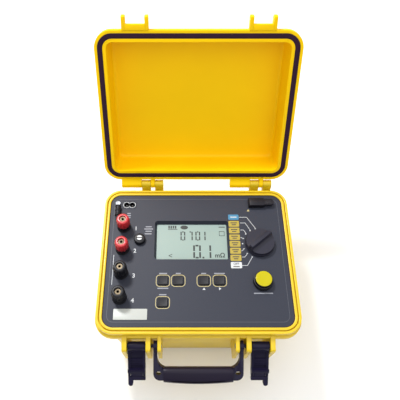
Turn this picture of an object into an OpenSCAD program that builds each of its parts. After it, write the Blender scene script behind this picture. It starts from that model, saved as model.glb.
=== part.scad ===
// Portable micro ohmmeter in a hard case with a hinged lid.
// Origin: centre of the case's underside, on the plane of the feet. +Z is up, -Y is the front.

/* [Case] */
// Width of the case at its rim
case_w = 273; // [255:1:300]
// Depth of the case at its rim
case_d = 221; // [212:1:245]
// Height of the closed case, with its feet
case_h = 180; // [174:1:200]
// Height of the lid
lid_h = 45; // [42:1:52]
// Corner radius of the rim
corner_r = 24; // [22:1:28]
// Wall of the case and the lid
wall = 4; // [3:0.5:5]
// Height of the rubber feet
foot_h = 3; // [2:0.5:5]
// Radius of a foot
foot_r = 9; // [7:0.5:12]
// Height of the rim's upper flange
flange_h = 8; // [7:0.5:10]
// Height of the groove under the upper flange
groove_h = 3; // [2:0.5:4]
// How far the lower flange stands out past the rim
flange_out = 2; // [1:0.5:3]
// How far the tub's wall stands in from the rim at its top
tub_in_top = 5.5; // [5:0.5:7]
// How far the tub's wall stands in from the rim at its base
tub_in_base = 17; // [13:0.5:19]

/* [Lid] */
// Opening angle of the lid on its stop
lid_open = 115.5; // [95:0.5:118]
// How far the gasket lies in from the lid's edge
gasket_in = 4; // [3:0.5:5]
// Width of the gasket
gasket_w = 6.9; // [5:0.1:7.5]
// Width of the lid's rim band
lid_band = 15.2; // [14:0.1:17]
// Depth of the gasket's groove
gasket_deep = 4; // [3:0.5:5]

/* [Hinges] */
// Radius of a hinge knuckle
knuckle_r = 6; // [5:0.5:7]
// Radius of a hinge pin
hinge_pin_r = 2.5; // [1.5:0.1:3]
// Distance of the hinge axis behind the rim
hinge_back = 9.5; // [8.5:0.5:12]
// Height of the hinge axis over the rim
hinge_up = 4; // [3:0.5:5]

/* [Latches and handle] */
// Distance of the front pivot axis before the rim
pivot_out = 9.5; // [9:0.5:12]
// Depth of the front pivot axis below the rim
pivot_down = 22; // [20:1:26]
// Radius of the front pivot pins
pivot_pin_r = 2.5; // [1.5:0.1:3]
// Distance of a latch's middle from the handle's outer side
latch_off = 22.5; // [20:0.5:28]
// Width of a latch
latch_w = 23; // [20:1:26]
// Thickness of a latch ear
ear_t = 6.5; // [5:0.5:8]
// Angle at which the latches hang out, below level
latch_rest = 40; // [20:1:50]
// Distance from the pivot to the latch's hook
hook_u = 31; // [29:1:34]
// Length of the latch to the end of its trigger
latch_len = 47.5; // [45:0.5:52]
// Width across the handle's arms
handle_w = 119; // [110:1:122]
// Distance from the pivot to the handle frame's outer edge
handle_len = 45; // [42:1:52]
// Width of a handle arm
arm_t = 5; // [4:0.5:5.5]
// Angle at which the handle stands out, below level
handle_rest = 34; // [20:1:45]
// Length of the grip sleeve
grip_len = 92; // [70:1:94]

/* [Panel] */
// How far the panel lies below the rim
panel_down = 1.5; // [1:0.5:3]
// Thickness of the panel
panel_t = 3; // [2.5:0.5:4]
// Width of the display opening
lcd_w = 108; // [92:1:112]
// Height of the display opening
lcd_h = 62; // [46:1:66]
// Diameter of the selector knob
knob_d = 42; // [36:1:44]
// Height of the selector knob
knob_h = 16; // [14:1:22]
// Diameter of the start button
start_d = 23; // [18:1:26]
// Travel of the start button
start_travel = 2.5; // [1:0.5:3]
// Side of a key
key_s = 13.5; // [11:0.5:15]
// Travel of a key
key_travel = 1; // [0.5:0.1:1.2]

/* [Terminals] */
// Diameter of a terminal cap
cap_d = 19; // [16:0.5:22]
// Height of a terminal cap
cap_h = 15.5; // [12:0.5:18]
// Radius of the 4 mm test lead socket
socket_r = 2; // [1.9:0.05:2.1]
// Depth of the test lead socket
socket_deep = 20; // [16:1:24]
// Diameter of the fuse cap
fuse_cap_d = 16.5; // [14:0.5:19]

/* [Hidden] */
$fn = 48;
fine_fn = 200;

// Shared clearances and the overrun of a cut
run_fit = 0.05;
gap = 0.3;
slack = 0.5;
over = 1;

// Heights that follow from the case
rim_z = case_h - lid_h;
flange_z = rim_z - flange_h;
groove_z = flange_z - groove_h;
lower_flange_h = 7;
tub_top_z = groove_z - lower_flange_h;
groove_in = 3;
tub_w = case_w - 2 * tub_in_base;
tub_d = case_d - 2 * tub_in_base;
tub_lean = tub_in_base - tub_in_top;
tub_h = tub_top_z - foot_h;
tub_r = 18;

// Panel seat
panel_top = rim_z - panel_down;
panel_low = panel_top - panel_t;
rim_land = 8.5;
seal_w = 1;
pocket_w = case_w - 2 * rim_land;
pocket_d = case_d - 2 * rim_land;
pocket_r = corner_r - rim_land;
panel_w = pocket_w - 2 * seal_w;
panel_d = pocket_d - 2 * seal_w;
panel_r = pocket_r - seal_w;
ledge_w = 6;
seat_line_in = 4;
seat_line_w = 1.2;
seat_line_deep = 0.8;

// Feet, screws and their pillars
foot_side = 23;
foot_end = 22;
foot_x = tub_w / 2 - foot_side;
foot_y = tub_d / 2 - foot_end;
pillar_side = 72.5;
pillar_end = 30.5;
pillar_x = case_w / 2 - pillar_side;
pillar_y = case_d / 2 - pillar_end;
pillar_r = 6;
screw_r = 2;
screw_head_r = 3.6;
screw_head_h = 2.5;
screw_len = 14;
boss_h = 10;
boss_r = 5;
pillar_cap = 4;
boss_z = panel_low - boss_h;

// Hinges
hinge_y = case_d / 2 + hinge_back;
hinge_z = rim_z + hinge_up;
hinge_gap = 0.3;
lid_long_knuckle = 30;
case_long_knuckle = 13.3;
lid_short_knuckle = 6;
case_short_knuckle = 12.6;
case_long_at = lid_long_knuckle + hinge_gap;
lid_short_at = case_long_at + case_long_knuckle + hinge_gap;
case_short_at = lid_short_at + lid_short_knuckle + hinge_gap;
hinge_len = case_short_at + case_short_knuckle;
hinge_left = 24;
hinge_right = 21.7;
hinge_starts = [-case_w / 2 + hinge_left, case_w / 2 - hinge_right - hinge_len];
pin_end = 1;
leaf_in = 4;
leaf_share = 0.75;

// Lid
lid_gap = 0.6;
seal_gap = 0.3;
lid_flange_h = 9;
lid_wall_in = 9;
lid_bevel = 5;
lid_bevel_h = 6;
lid_draft = 4;
lid_low_z = rim_z + lid_gap;
lid_flange_z = rim_z + lid_flange_h;
lid_wall_w = case_w - 2 * lid_wall_in;
lid_wall_d = case_d - 2 * lid_wall_in;
lid_wall_r = corner_r - lid_wall_in;
lid_shoulder_r = lid_wall_r - lid_draft;
hollow_w = case_w - 2 * lid_band;
hollow_d = case_d - 2 * lid_band;
hollow_r = corner_r - lid_band;
hollow_in = 2.5;
hollow_h = lid_h - wall - lid_gap;

// Lid catches over the latches
prong_t = 5;
prong_out = 17.5;
prong_h = 12;
bridge_out = 7.2;
bridge_top = 7;
bridge_z = rim_z + bridge_top;
catch_gap = 1;

// Front pivots
latch_x = handle_w / 2 + latch_off;
pivot_y = -case_d / 2 - pivot_out;
pivot_z = rim_z - pivot_down;
ear_in_x = latch_x - latch_w / 2 - catch_gap - ear_t;
ear_out_x = latch_x + latch_w / 2 + catch_gap;
ear_nose_r = 4;
ear_nose_out = 14.5;
ear_nose_down = 17;
ear_foot_out = 12.5;
ear_foot_down = 76;
ear_root = 13;
ear_root_down = 84;
ear_brow_down = 9.5;
rib_t = 5;
arm_gap = 0.5;
rib_x = handle_w / 2 - arm_t - arm_gap - rib_t;
pivot_eye_r = 6;

// Latch
latch_inner = 1.5;
latch_outer = 7;
hook_t = 5;
hook_reach = 6.5;
arm_end_u = 38;
cheek_t = 3;
cheek_len = 5;
trigger_eye_r = 3;
trigger_pin_r = 1.2;
trigger_u = 41;
trigger_v = 3;
trigger_relief = 2.5;
finger_w = 6.5;
finger_len = 8.5;
rib_pitch = 3;
rib_deep = 1;
rib_cut_w = 1.4;
latch_ribs = 3;

// Handle
handle_eye_r = 7;
handle_t = 9;
corner_in_r = 15;
corner_out_r = 9;
bar_w = 15.5;
bar_u = handle_len - bar_w;
eye_slot_r = 2.2;
eye_slot_len = 4;
eye_slot_u = 35.2;
eye_slot_in = 7;
grip_t = 15;
grip_in = 1.5;
grip_out = 6;
grip_arch = 2.7;
grip_h = bar_w + grip_in + grip_out;

// Display
lcd_x = -7;
lcd_y = 27;
lcd_sink = 3.5;
lcd_lean = 3;
lcd_frame = 4;
window_t = 1.5;
window_lap = 3;
module_t = 4;
board_t = 1.6;
window_z = panel_low - lcd_sink - window_t;
display_z = window_z - module_t - board_t;

// Keys
key_deep = 13;
key_rise = 2.5;
key_lip = 1;
key_lip_t = 1.5;
key_row_y = -36.3;
key_places = [[-47.7, -36.3], [-26.7, -36.3], [8.5, -36.3], [30.4, -36.3], [-47.7, -67.6]];
key_r = 1.5;
key_stem = 4;
key_stem_h = 2;
tact_w = 6;
tact_h = 3.5;
tact_z = panel_low - key_lip_t - key_stem_h - key_travel - 3 * gap - tact_h;
key_board_w = 96;
key_board_d = 52;
key_board_x = -8.6;
key_board_y = -52;
key_board_z = tact_z - board_t;

// Selector
knob_side = 46.5;
knob_x = case_w / 2 - knob_side;
knob_y = 20.5;
knob_seat = 0.6;
knob_skirt_h = 7;
knob_bar_w = 7;
knob_bar_rest = 219.4;
knob_scoop_r = 34;
knob_scoop_deep = 8.5;
knob_edge = 1.5;
shaft_r = 3;
shaft_flat = 0.8;
bush_r = 4.75;
bush_rise = 4;
switch_r = 17;
switch_h = 20;
knob_bore_h = 11;

// Start button
start_side = 47;
start_front = 72.5;
start_x = case_w / 2 - start_side;
start_y = -case_d / 2 + start_front;
start_rise = 12;
start_cap_t = 6.5;
collar_t = 1.6;
collar_rise = 7;
stem_r = 4;
start_body = 22;
start_body_h = 24;
stem_deep = 10;

// Terminals
post_edge = 30.5;
post_x = -case_w / 2 + post_edge;
post_ys = [48, 12, -25, -61];
post_base_h = 9;
post_base_r = 10;
stud_r = 4;
stud_rise = 23;
stud_drop = 16;
stud_hole_r = 1;
nut_af = 13;
nut_h = 4;
cap_lift = 0.4;
cap_flutes = 16;
cap_flute_r = 1.1;
cap_flute_share = 0.8;
cap_mouth_r = 3.4;
cap_crown_h = 2;
cap_bore_r = stud_r + run_fit;
lead_r = 1.8;
stud_low = panel_low - stud_drop;

// Mains inlet, its dust plug and the strap screw
inlet_edge = 36.5;
inlet_back = 25.5;
inlet_x = -case_w / 2 + inlet_edge;
inlet_y = case_d / 2 - inlet_back;
inlet_w = 20;
inlet_d = 11;
inlet_h = 20;
inlet_lip = 2;
inlet_lip_t = 1.2;
socket_pitch = 8.6;
eight_r = 3.9;
eight_deep = 12;
eight_waist_share = 1.2;
inlet_pin_r = 1.2;
inlet_pin_h = 9;
inlet_pin_tail = 4;
strap_edge = 19.5;
strap_back = 24;
strap_x = -case_w / 2 + strap_edge;
strap_y = case_d / 2 - strap_back;
strap_screw_r = 3.6;
strap_screw_h = 2;
strap_stem_r = 1.5;
strap_eye_r = 4.5;
strap_t = 1.2;
strap_w = 3.4;
plug_edge = 20.4;
plug_x = -case_w / 2 + plug_edge;
plug_r = 4;
plug_back = 29.5;
plug_body_top_y = case_d / 2 - plug_back;
plug_len = 25;
plug_collar_r = 4.6;
plug_collar_t = 1.6;
plug_tip_share = 0.62;
strap_wide_share = 0.5;

// Fuse
fuse_edge = 54.2;
fuse_x = -case_w / 2 + fuse_edge;
fuse_y = 26.5;
fuse_cap_h = 6;
fuse_top_r = 4.2;
fuse_top_h = 1.2;
fuse_slot_w = 1.4;
fuse_body_r = 7;
fuse_body_h = 34;
fuse_stem_r = 5;
fuse_stem_h = 6;
fuse_bore_r = 5.4;
fuse_link_r = 3.15;
fuse_link_l = 20;
fuse_end_l = 5;

// Communication port
port_edge = 47;
port_back = 23.7;
port_x = case_w / 2 - port_edge;
port_y = case_d / 2 - port_back;
port_w = 23;
port_d = 13;
port_rise = 3;
port_drop = 12;
port_hole_w = 16;
port_hole_d = 7;
port_hole_deep = 10;
port_cover_t = 4.5;
port_skirt = 1.5;
port_tab_len = 15;
port_tab_t = 4;
port_tab_r = 5;
port_pin_r = 1.1;

// Label plate
label_w = 45;
label_d = 15;
label_edge = 46;
label_front = 26.5;
label_x = -case_w / 2 + label_edge;
label_y = -case_d / 2 + label_front;
label_t = 0.6;
label_r = 1;

// Inside the case
floor_z = foot_h + wall;
cell_r = 16;
cell_l = 60;
cell_rows = 3;
cell_gap = 0.3;
cell_pitch = 2 * cell_r + cell_gap;
pack_x = -30;
bracket_w = 16;
bracket_t = 1.5;
bracket_ear = 12;
main_side = 23.5;
main_end = 42.5;
main_w = case_w - 2 * main_side;
main_d = case_d - 2 * main_end;
main_z = 62;
standoff_side = 25;
standoff_end = 18;
standoff_x = main_w / 2 - standoff_side;
standoff_y = main_d / 2 - standoff_end;
standoff_r = 3;
sink_w = 60;
sink_d = 44;
sink_base = 4;
sink_h = 24;
sink_fins = 7;
sink_fin_t = 2;
sink_x = 30;
core_w = 50;
core_d = 42;
core_h = 40;
core_x = 66;
core_leg = 9;
coil_d = 58;
coil_h = 20;

// Rectangle with round corners, in the plane
module round_rect(w, d, r) {
    square([w - 2 * r, d], center = true);
    square([w, d - 2 * r], center = true);
    for (sx = [-1, 1], sy = [-1, 1])
        translate([sx * (w / 2 - r), sy * (d / 2 - r)]) circle(r);
}

// Plate with round corners, standing on z
module plate(w, d, h, r, z) {
    translate([0, 0, z]) linear_extrude(h) round_rect(w, d, r);
}

// Plate whose sides and corners lean out by lean at its top, or in where lean is negative
module leaning(w, d, h, r, z, lean) {
    translate([0, 0, z]) {
        rotate([90, 0, 0]) linear_extrude(d - 2 * r, center = true)
            polygon([[-w / 2, 0], [w / 2, 0], [w / 2 + lean, h], [-w / 2 - lean, h]]);
        rotate([90, 0, 90]) linear_extrude(w - 2 * r, center = true)
            polygon([[-d / 2, 0], [d / 2, 0], [d / 2 + lean, h], [-d / 2 - lean, h]]);
        for (sx = [-1, 1], sy = [-1, 1])
            translate([sx * (w / 2 - r), sy * (d / 2 - r), 0]) cylinder(h = h, r1 = r, r2 = r + lean);
    }
}

// Outline in Y and Z, extruded along X from x
module side_plate(x, t) {
    translate([x, 0, 0]) rotate([90, 0, 90]) linear_extrude(t) children();
}

// Cylinder along X from x, on the axis at y and z
module x_rod(x, len, r, y, z) {
    translate([x, y, z]) rotate([0, 90, 0]) cylinder(h = len, r = r);
}

// Ring of the rim, set in from its edge
module rim_ring(inset, width, h, z) {
    difference() {
        plate(case_w - 2 * inset, case_d - 2 * inset, h, corner_r - inset, z);
        plate(case_w - 2 * (inset + width), case_d - 2 * (inset + width), h + 2 * over,
            corner_r - inset - width, z - over);
    }
}

// Outline of a front ear or rib, from the flange to its foot on the wall
module ear_outline() {
    front = -case_d / 2;
    polygon([[front + ear_root, rim_z - ear_brow_down],
        [front - flange_out, rim_z - ear_brow_down],
        [front - ear_nose_out, rim_z - ear_nose_down + ear_nose_r / 2],
        [front - ear_nose_out - ear_nose_r, rim_z - ear_nose_down - ear_nose_r],
        [front - ear_foot_out, rim_z - ear_foot_down],
        [front + ear_root, rim_z - ear_root_down]]);
    translate([front - ear_nose_out, rim_z - ear_nose_down - ear_nose_r / 2]) circle(ear_nose_r);
}

// Knuckle of a hinge with its leaf in towards the case or the lid
module knuckle(x, len) {
    side_plate(x, len) {
        translate([hinge_y, hinge_z]) circle(knuckle_r);
        children();
    }
}

// Leaf outline of the case's knuckles, down to the lower flange
module case_leaf() {
    polygon([[hinge_y - knuckle_r, hinge_z], [hinge_y + knuckle_r, hinge_z],
        [hinge_y + knuckle_r * leaf_share, flange_z],
        [case_d / 2 + flange_out, tub_top_z], [case_d / 2 - leaf_in, tub_top_z],
        [case_d / 2 - leaf_in, groove_z], [case_d / 2 + flange_out, groove_z]]);
}

// Leaf outline of the lid's knuckles, in to its flange
module lid_leaf() {
    polygon([[hinge_y, hinge_z - knuckle_r * leaf_share], [hinge_y, hinge_z + knuckle_r],
        [case_d / 2 - leaf_in, lid_flange_z], [case_d / 2 - leaf_in, lid_low_z],
        [case_d / 2 + over, lid_low_z]]);
}

// Outside of the tub, up to the rim's lower flange
module tub_outer() {
    leaning(tub_w, tub_d, tub_h, tub_r, foot_h, tub_lean);
}

// Outside of the lower flange and of the groove over it
module flange_outer() {
    plate(case_w + 2 * flange_out, case_d + 2 * flange_out, lower_flange_h,
        corner_r + flange_out, tub_top_z);
    plate(case_w - 2 * groove_in, case_d - 2 * groove_in, groove_h,
        corner_r - groove_in, groove_z);
}

module lower_shell() {
    color("gold") difference() {
        union() {
            difference() {
                tub_outer();
                leaning(tub_w - 2 * wall, tub_d - 2 * wall, tub_h, tub_r - wall, floor_z, tub_lean);
            }
            for (sx = [-1, 1], sy = [-1, 1])
                translate([sx * pillar_x, sy * pillar_y, foot_h])
                    cylinder(h = boss_z - foot_h, r = pillar_r);
        }
        for (sx = [-1, 1], sy = [-1, 1]) translate([sx * pillar_x, sy * pillar_y, 0]) {
            cylinder(h = boss_z - pillar_cap, r = screw_head_r + slack);
            cylinder(h = boss_z + over, r = screw_r + gap);
        }
    }
}

// The rim's two flanges and the panel's ledge, moulded with the tub
module rim_frame() {
    color("gold") difference() {
        union() {
            flange_outer();
            plate(case_w, case_d, flange_h, corner_r, flange_z);
        }
        plate(pocket_w - 2 * ledge_w, pocket_d - 2 * ledge_w, case_h,
            pocket_r - ledge_w, tub_top_z - over);
        plate(pocket_w, pocket_d, case_h, pocket_r, panel_low);
        rim_ring(seat_line_in, seat_line_w, seat_line_deep + over, rim_z - seat_line_deep);
    }
}

// Ears for the latches and ribs for the handle, moulded with the tub
module front_ears() {
    color("gold") difference() {
        union() {
            for (x = [-ear_out_x - ear_t, -ear_in_x - ear_t, ear_in_x, ear_out_x])
                side_plate(x, ear_t) ear_outline();
            for (x = [-rib_x - rib_t, rib_x]) side_plate(x, rib_t) ear_outline();
        }
        tub_outer();
        flange_outer();
        for (x = [-ear_out_x - ear_t - over, rib_x - over])
            x_rod(x, ear_out_x + ear_t - rib_x + 2 * over, pivot_pin_r + run_fit, pivot_y, pivot_z);
    }
}

// The case's hinge knuckles and leaves, moulded with the lower flange
module hinge_leaves() {
    color("gold") difference() {
        for (x = hinge_starts) {
            knuckle(x + case_long_at, case_long_knuckle) case_leaf();
            knuckle(x + case_short_at, case_short_knuckle) case_leaf();
        }
        flange_outer();
        for (x = hinge_starts)
            x_rod(x, hinge_len + over, hinge_pin_r + run_fit, hinge_y, hinge_z);
    }
}

module rubber_feet() {
    color("dimgray") for (sx = [-1, 1], sy = [-1, 1])
        translate([sx * foot_x, sy * foot_y, 0]) cylinder(h = foot_h, r = foot_r);
}

module case_screws() {
    color("silver") for (sx = [-1, 1], sy = [-1, 1])
        translate([sx * pillar_x, sy * pillar_y, boss_z - pillar_cap]) {
            translate([0, 0, -screw_head_h]) cylinder(h = screw_head_h, r = screw_head_r);
            cylinder(h = screw_len - boss_r, r = screw_r);
        }
}

module hinge_pins() {
    color("silver") for (x = hinge_starts)
        x_rod(x + pin_end, hinge_len - 2 * pin_end, hinge_pin_r, hinge_y, hinge_z);
}

module pivot_pins() {
    len = ear_out_x + ear_t - rib_x;
    color("silver") for (x = [-ear_out_x - ear_t, rib_x]) x_rod(x, len, pivot_pin_r, pivot_y, pivot_z);
}

module front_panel() {
    color("slategray") difference() {
        union() {
            plate(panel_w, panel_d, panel_t, panel_r, panel_low);
            translate([lcd_x, lcd_y, panel_low - lcd_sink]) linear_extrude(lcd_sink + over)
                round_rect(lcd_w + 2 * lcd_frame, lcd_h + 2 * lcd_frame, key_r);
            for (sx = [-1, 1], sy = [-1, 1])
                translate([sx * pillar_x, sy * pillar_y, boss_z]) cylinder(h = boss_h, r = boss_r);
        }
        for (sx = [-1, 1], sy = [-1, 1])
            translate([sx * pillar_x, sy * pillar_y, boss_z - over])
                cylinder(h = boss_h, r = screw_r + run_fit);
        translate([lcd_x, lcd_y, 0]) {
            leaning(lcd_w - 2 * lcd_lean, lcd_h - 2 * lcd_lean, lcd_sink + panel_t, key_r,
                panel_low - lcd_sink, lcd_lean);
            plate(lcd_w - 2 * lcd_lean, lcd_h - 2 * lcd_lean, over + run_fit, key_r,
                panel_low - lcd_sink - over);
            plate(lcd_w, lcd_h, over, key_r + lcd_lean, panel_top - run_fit);
        }
        for (p = key_places) translate([p.x, p.y, panel_low - over])
            linear_extrude(panel_t + 2 * over)
                round_rect(key_s + 2 * gap, key_deep + 2 * gap, key_r + gap);
        for (y = post_ys) translate([post_x, y, panel_low - over])
            cylinder(h = panel_t + 2 * over, r = stud_r + run_fit);
        translate([fuse_x, fuse_y, panel_low - over])
            cylinder(h = panel_t + 2 * over, r = fuse_body_r + run_fit);
        translate([knob_x, knob_y, panel_low - over])
            cylinder(h = panel_t + 2 * over, r = bush_r + run_fit);
        translate([start_x, start_y, panel_low - over])
            cylinder(h = panel_t + 2 * over, r = stem_r + slack);
        translate([inlet_x, inlet_y, panel_low - over])
            linear_extrude(panel_t + 2 * over)
                round_rect(inlet_w + 2 * run_fit, inlet_d + 2 * run_fit, eight_r);
        translate([port_x, port_y, panel_low - over])
            linear_extrude(panel_t + 2 * over)
                square([port_w - 2 * port_skirt, port_d - 2 * port_skirt], center = true);
        translate([strap_x, strap_y, panel_low - over])
            cylinder(h = panel_t + 2 * over, r = strap_stem_r + run_fit);
    }
}

module panel_seal() {
    color("black") difference() {
        plate(pocket_w, pocket_d, panel_t, pocket_r, panel_low);
        plate(panel_w, panel_d, panel_t + 2 * over, panel_r, panel_low - over);
    }
}

module lcd_window() {
    color([0.8, 0.9, 0.85, 0.4]) translate([lcd_x, lcd_y, window_z])
        linear_extrude(window_t) round_rect(lcd_w, lcd_h, key_r);
}

module lcd_module() {
    color("darkseagreen") translate([lcd_x, lcd_y, window_z - module_t / 2])
        cube([lcd_w, lcd_h, module_t], center = true);
}

module display_board() {
    color("green") translate([lcd_x, lcd_y, display_z + board_t / 2])
        cube([lcd_w + 2 * window_lap, lcd_h, board_t], center = true);
}

module key_board() {
    color("green") translate([key_board_x, key_board_y, key_board_z + board_t / 2])
        cube([key_board_w, key_board_d, board_t], center = true);
}

module tact_switches() {
    color("dimgray") for (p = key_places) translate([p.x, p.y, tact_z + tact_h / 2])
        cube([tact_w, tact_w, tact_h], center = true);
}

module board_standoffs() {
    color("goldenrod") for (sx = [-1, 1], sy = [-1, 1])
        translate([sx * standoff_x, sy * standoff_y, floor_z])
            cylinder(h = main_z - floor_z, r = standoff_r);
}

module main_board() {
    color("darkgreen") translate([0, 0, main_z + board_t / 2])
        cube([main_w, main_d, board_t], center = true);
}

module heat_sink() {
    color("silver") translate([sink_x, 0, main_z + board_t]) {
        translate([0, 0, sink_base / 2]) cube([sink_w, sink_d, sink_base], center = true);
        for (i = [0 : sink_fins - 1])
            translate([(i / (sink_fins - 1) - 1 / 2) * (sink_w - sink_fin_t), 0, sink_h / 2])
                cube([sink_fin_t, sink_d, sink_h], center = true);
    }
}

module battery_pack() {
    color("royalblue") for (row = [0 : cell_rows - 1], end = [-1, 0])
        translate([pack_x + (row - (cell_rows - 1) / 2) * cell_pitch, end * cell_l, floor_z + cell_r])
            rotate([-90, 0, 0]) cylinder(h = cell_l, r = cell_r);
}

module battery_bracket() {
    span = cell_rows * cell_pitch + cell_gap;
    top = floor_z + 2 * cell_r + cell_gap;
    color("silver") difference() {
        union() {
            translate([pack_x, 0, (floor_z + top + bracket_t) / 2])
                cube([span + 2 * bracket_t, bracket_w, top + bracket_t - floor_z], center = true);
            translate([pack_x, 0, floor_z + bracket_t / 2])
                cube([span + 2 * bracket_ear, bracket_w, bracket_t], center = true);
        }
        translate([pack_x, 0, (floor_z + top) / 2 - over])
            cube([span, bracket_w + 2 * over, top - floor_z + 2 * over], center = true);
    }
}

module charger_transformer() {
    color("peru") translate([core_x, 0, floor_z]) difference() {
        union() {
            translate([0, 0, core_h / 2]) cube([core_w, core_d, core_h], center = true);
            translate([0, 0, core_h / 2]) cube([core_w - 2 * core_leg, coil_d, coil_h], center = true);
        }
        for (s = [-1, 1]) translate([s * (core_w / 2 - core_leg / 2), 0, core_h / 2])
            rotate([90, 0, 0]) cylinder(h = core_d + 2 * over, r = screw_r, center = true);
    }
}

module rotary_switch() {
    color("dimgray") translate([knob_x, knob_y, 0]) difference() {
        union() {
            translate([0, 0, panel_low - switch_h]) cylinder(h = switch_h, r = switch_r);
            translate([0, 0, panel_low - over]) cylinder(h = panel_t + over + bush_rise, r = bush_r);
        }
        translate([0, 0, panel_low - switch_h / 2])
            cylinder(h = switch_h, r = shaft_r + run_fit);
    }
}

module start_switch() {
    color("dimgray") translate([start_x, start_y, panel_low - start_body_h / 2]) difference() {
        cube([start_body, start_body, start_body_h], center = true);
        translate([0, 0, start_body_h / 2 - stem_deep - start_travel - slack])
            cylinder(h = start_body_h, r = stem_r + slack);
    }
}

module start_collar() {
    color("black") translate([start_x, start_y, panel_top]) difference() {
        cylinder(h = collar_rise, r = start_d / 2 + gap + collar_t);
        translate([0, 0, collar_t]) cylinder(h = collar_rise, r = start_d / 2 + gap);
        translate([0, 0, -over]) cylinder(h = collar_rise, r = stem_r + slack);
    }
}

module post_bases() {
    color("black") for (y = post_ys) translate([post_x, y, panel_top]) difference() {
        cylinder(h = post_base_h, r = post_base_r);
        translate([0, 0, -over]) cylinder(h = post_base_h + 2 * over, r = stud_r + run_fit);
    }
}

module post_studs() {
    color("gold") for (y = post_ys) translate([post_x, y, stud_low]) difference() {
        cylinder(h = panel_top + stud_rise - stud_low, r = stud_r);
        translate([0, 0, panel_top + stud_rise - stud_low - socket_deep])
            cylinder(h = socket_deep + over, r = socket_r);
        translate([0, 0, -over]) cylinder(h = stud_drop / 2, r = lead_r + run_fit);
    }
}

module post_nuts() {
    color("silver") for (y = post_ys) translate([post_x, y, panel_low - nut_h]) difference() {
        cylinder(h = nut_h, d = nut_af / cos(30), $fn = 6);
        translate([0, 0, -over]) cylinder(h = nut_h + 2 * over, r = stud_r + run_fit);
    }
}

module post_leads() {
    low = main_z + board_t + gap;
    color("firebrick") for (y = post_ys) translate([post_x, y, low])
        cylinder(h = stud_low + stud_drop / 2 - over - low, r = lead_r);
}

module figure_eight(r, pitch) {
    for (s = [-1, 1]) translate([s * pitch / 2, 0]) circle(r);
    square([pitch, r * eight_waist_share], center = true);
}

module mains_inlet() {
    color("black") translate([inlet_x, inlet_y, 0]) difference() {
        union() {
            translate([0, 0, panel_top - inlet_h]) linear_extrude(inlet_h)
                round_rect(inlet_w, inlet_d, eight_r);
            translate([0, 0, panel_top]) linear_extrude(inlet_lip_t)
                round_rect(inlet_w + inlet_lip, inlet_d + inlet_lip, eight_r + inlet_lip / 2);
        }
        translate([0, 0, panel_top + inlet_lip_t - eight_deep])
            linear_extrude(eight_deep + over) figure_eight(eight_r, socket_pitch);
        for (s = [-1, 1]) translate([s * socket_pitch / 2, 0, panel_top - inlet_h - over])
            cylinder(h = inlet_h, r = inlet_pin_r);
    }
}

module inlet_pins() {
    low = panel_top - inlet_h - inlet_pin_tail;
    color("silver") for (s = [-1, 1]) translate([inlet_x + s * socket_pitch / 2, inlet_y, low])
        cylinder(h = panel_top + inlet_lip_t - eight_deep + inlet_pin_h - low, r = inlet_pin_r);
}

module inlet_dust_plug() {
    mid_z = panel_top + plug_collar_r;
    color("black") difference() {
        union() {
            translate([strap_x, strap_y, panel_top]) cylinder(h = strap_t, r = strap_eye_r);
            translate([strap_x, strap_y, panel_top]) linear_extrude(strap_t)
                polygon([[-strap_eye_r, 0], [strap_eye_r * strap_wide_share, 0],
                    [plug_x - strap_x + strap_w / 2, plug_body_top_y - strap_y - over],
                    [plug_x - strap_x - strap_w / 2, plug_body_top_y - strap_y - over]]);
            translate([plug_x, plug_body_top_y, mid_z]) rotate([90, 0, 0])
                cylinder(h = plug_len * plug_tip_share, r = plug_r);
            for (at = [0, plug_len * plug_tip_share / 2, plug_len * plug_tip_share])
                translate([plug_x, plug_body_top_y - at, mid_z]) rotate([90, 0, 0])
                    cylinder(h = plug_collar_t, r = plug_collar_r);
            translate([plug_x, plug_body_top_y, mid_z]) rotate([90, 0, 0])
                cylinder(h = plug_len, r = plug_r * plug_tip_share);
            translate([plug_x - strap_w / 2, plug_body_top_y - plug_collar_t, panel_top])
                cube([strap_w, plug_collar_t, plug_collar_r]);
        }
        translate([strap_x, strap_y, panel_top - over])
            cylinder(h = strap_t + 2 * over, r = strap_stem_r + run_fit);
    }
}

module strap_screw() {
    color("silver") translate([strap_x, strap_y, panel_top + strap_t]) {
        cylinder(h = strap_screw_h, r = strap_screw_r);
        translate([0, 0, -strap_t - panel_t]) cylinder(h = strap_t + panel_t, r = strap_stem_r);
    }
}

module fuse_holder() {
    color("black") translate([fuse_x, fuse_y, panel_top - fuse_body_h]) difference() {
        cylinder(h = fuse_body_h, r = fuse_body_r);
        translate([0, 0, wall]) cylinder(h = fuse_body_h, r = fuse_bore_r);
    }
}

module fuse_cap() {
    color("black") translate([fuse_x, fuse_y, panel_top]) difference() {
        union() {
            translate([0, 0, gap]) cylinder(h = fuse_cap_h, d = fuse_cap_d);
            translate([0, 0, gap + fuse_cap_h - over]) cylinder(h = fuse_top_h + over, r = fuse_top_r);
            translate([0, 0, -fuse_stem_h]) cylinder(h = fuse_stem_h + over, r = fuse_stem_r);
        }
        translate([0, 0, gap + fuse_cap_h + fuse_top_h])
            cube([2 * fuse_top_r + over, fuse_slot_w, 2 * fuse_top_h], center = true);
    }
}

module fuse_link() {
    top = panel_top - fuse_stem_h - gap;
    color("lightgray") translate([fuse_x, fuse_y, top - fuse_link_l]) {
        cylinder(h = fuse_link_l, r = fuse_link_r - fuse_slot_w / 4);
        for (z = [0, fuse_link_l - fuse_end_l]) translate([0, 0, z])
            cylinder(h = fuse_end_l, r = fuse_link_r);
    }
}

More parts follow.
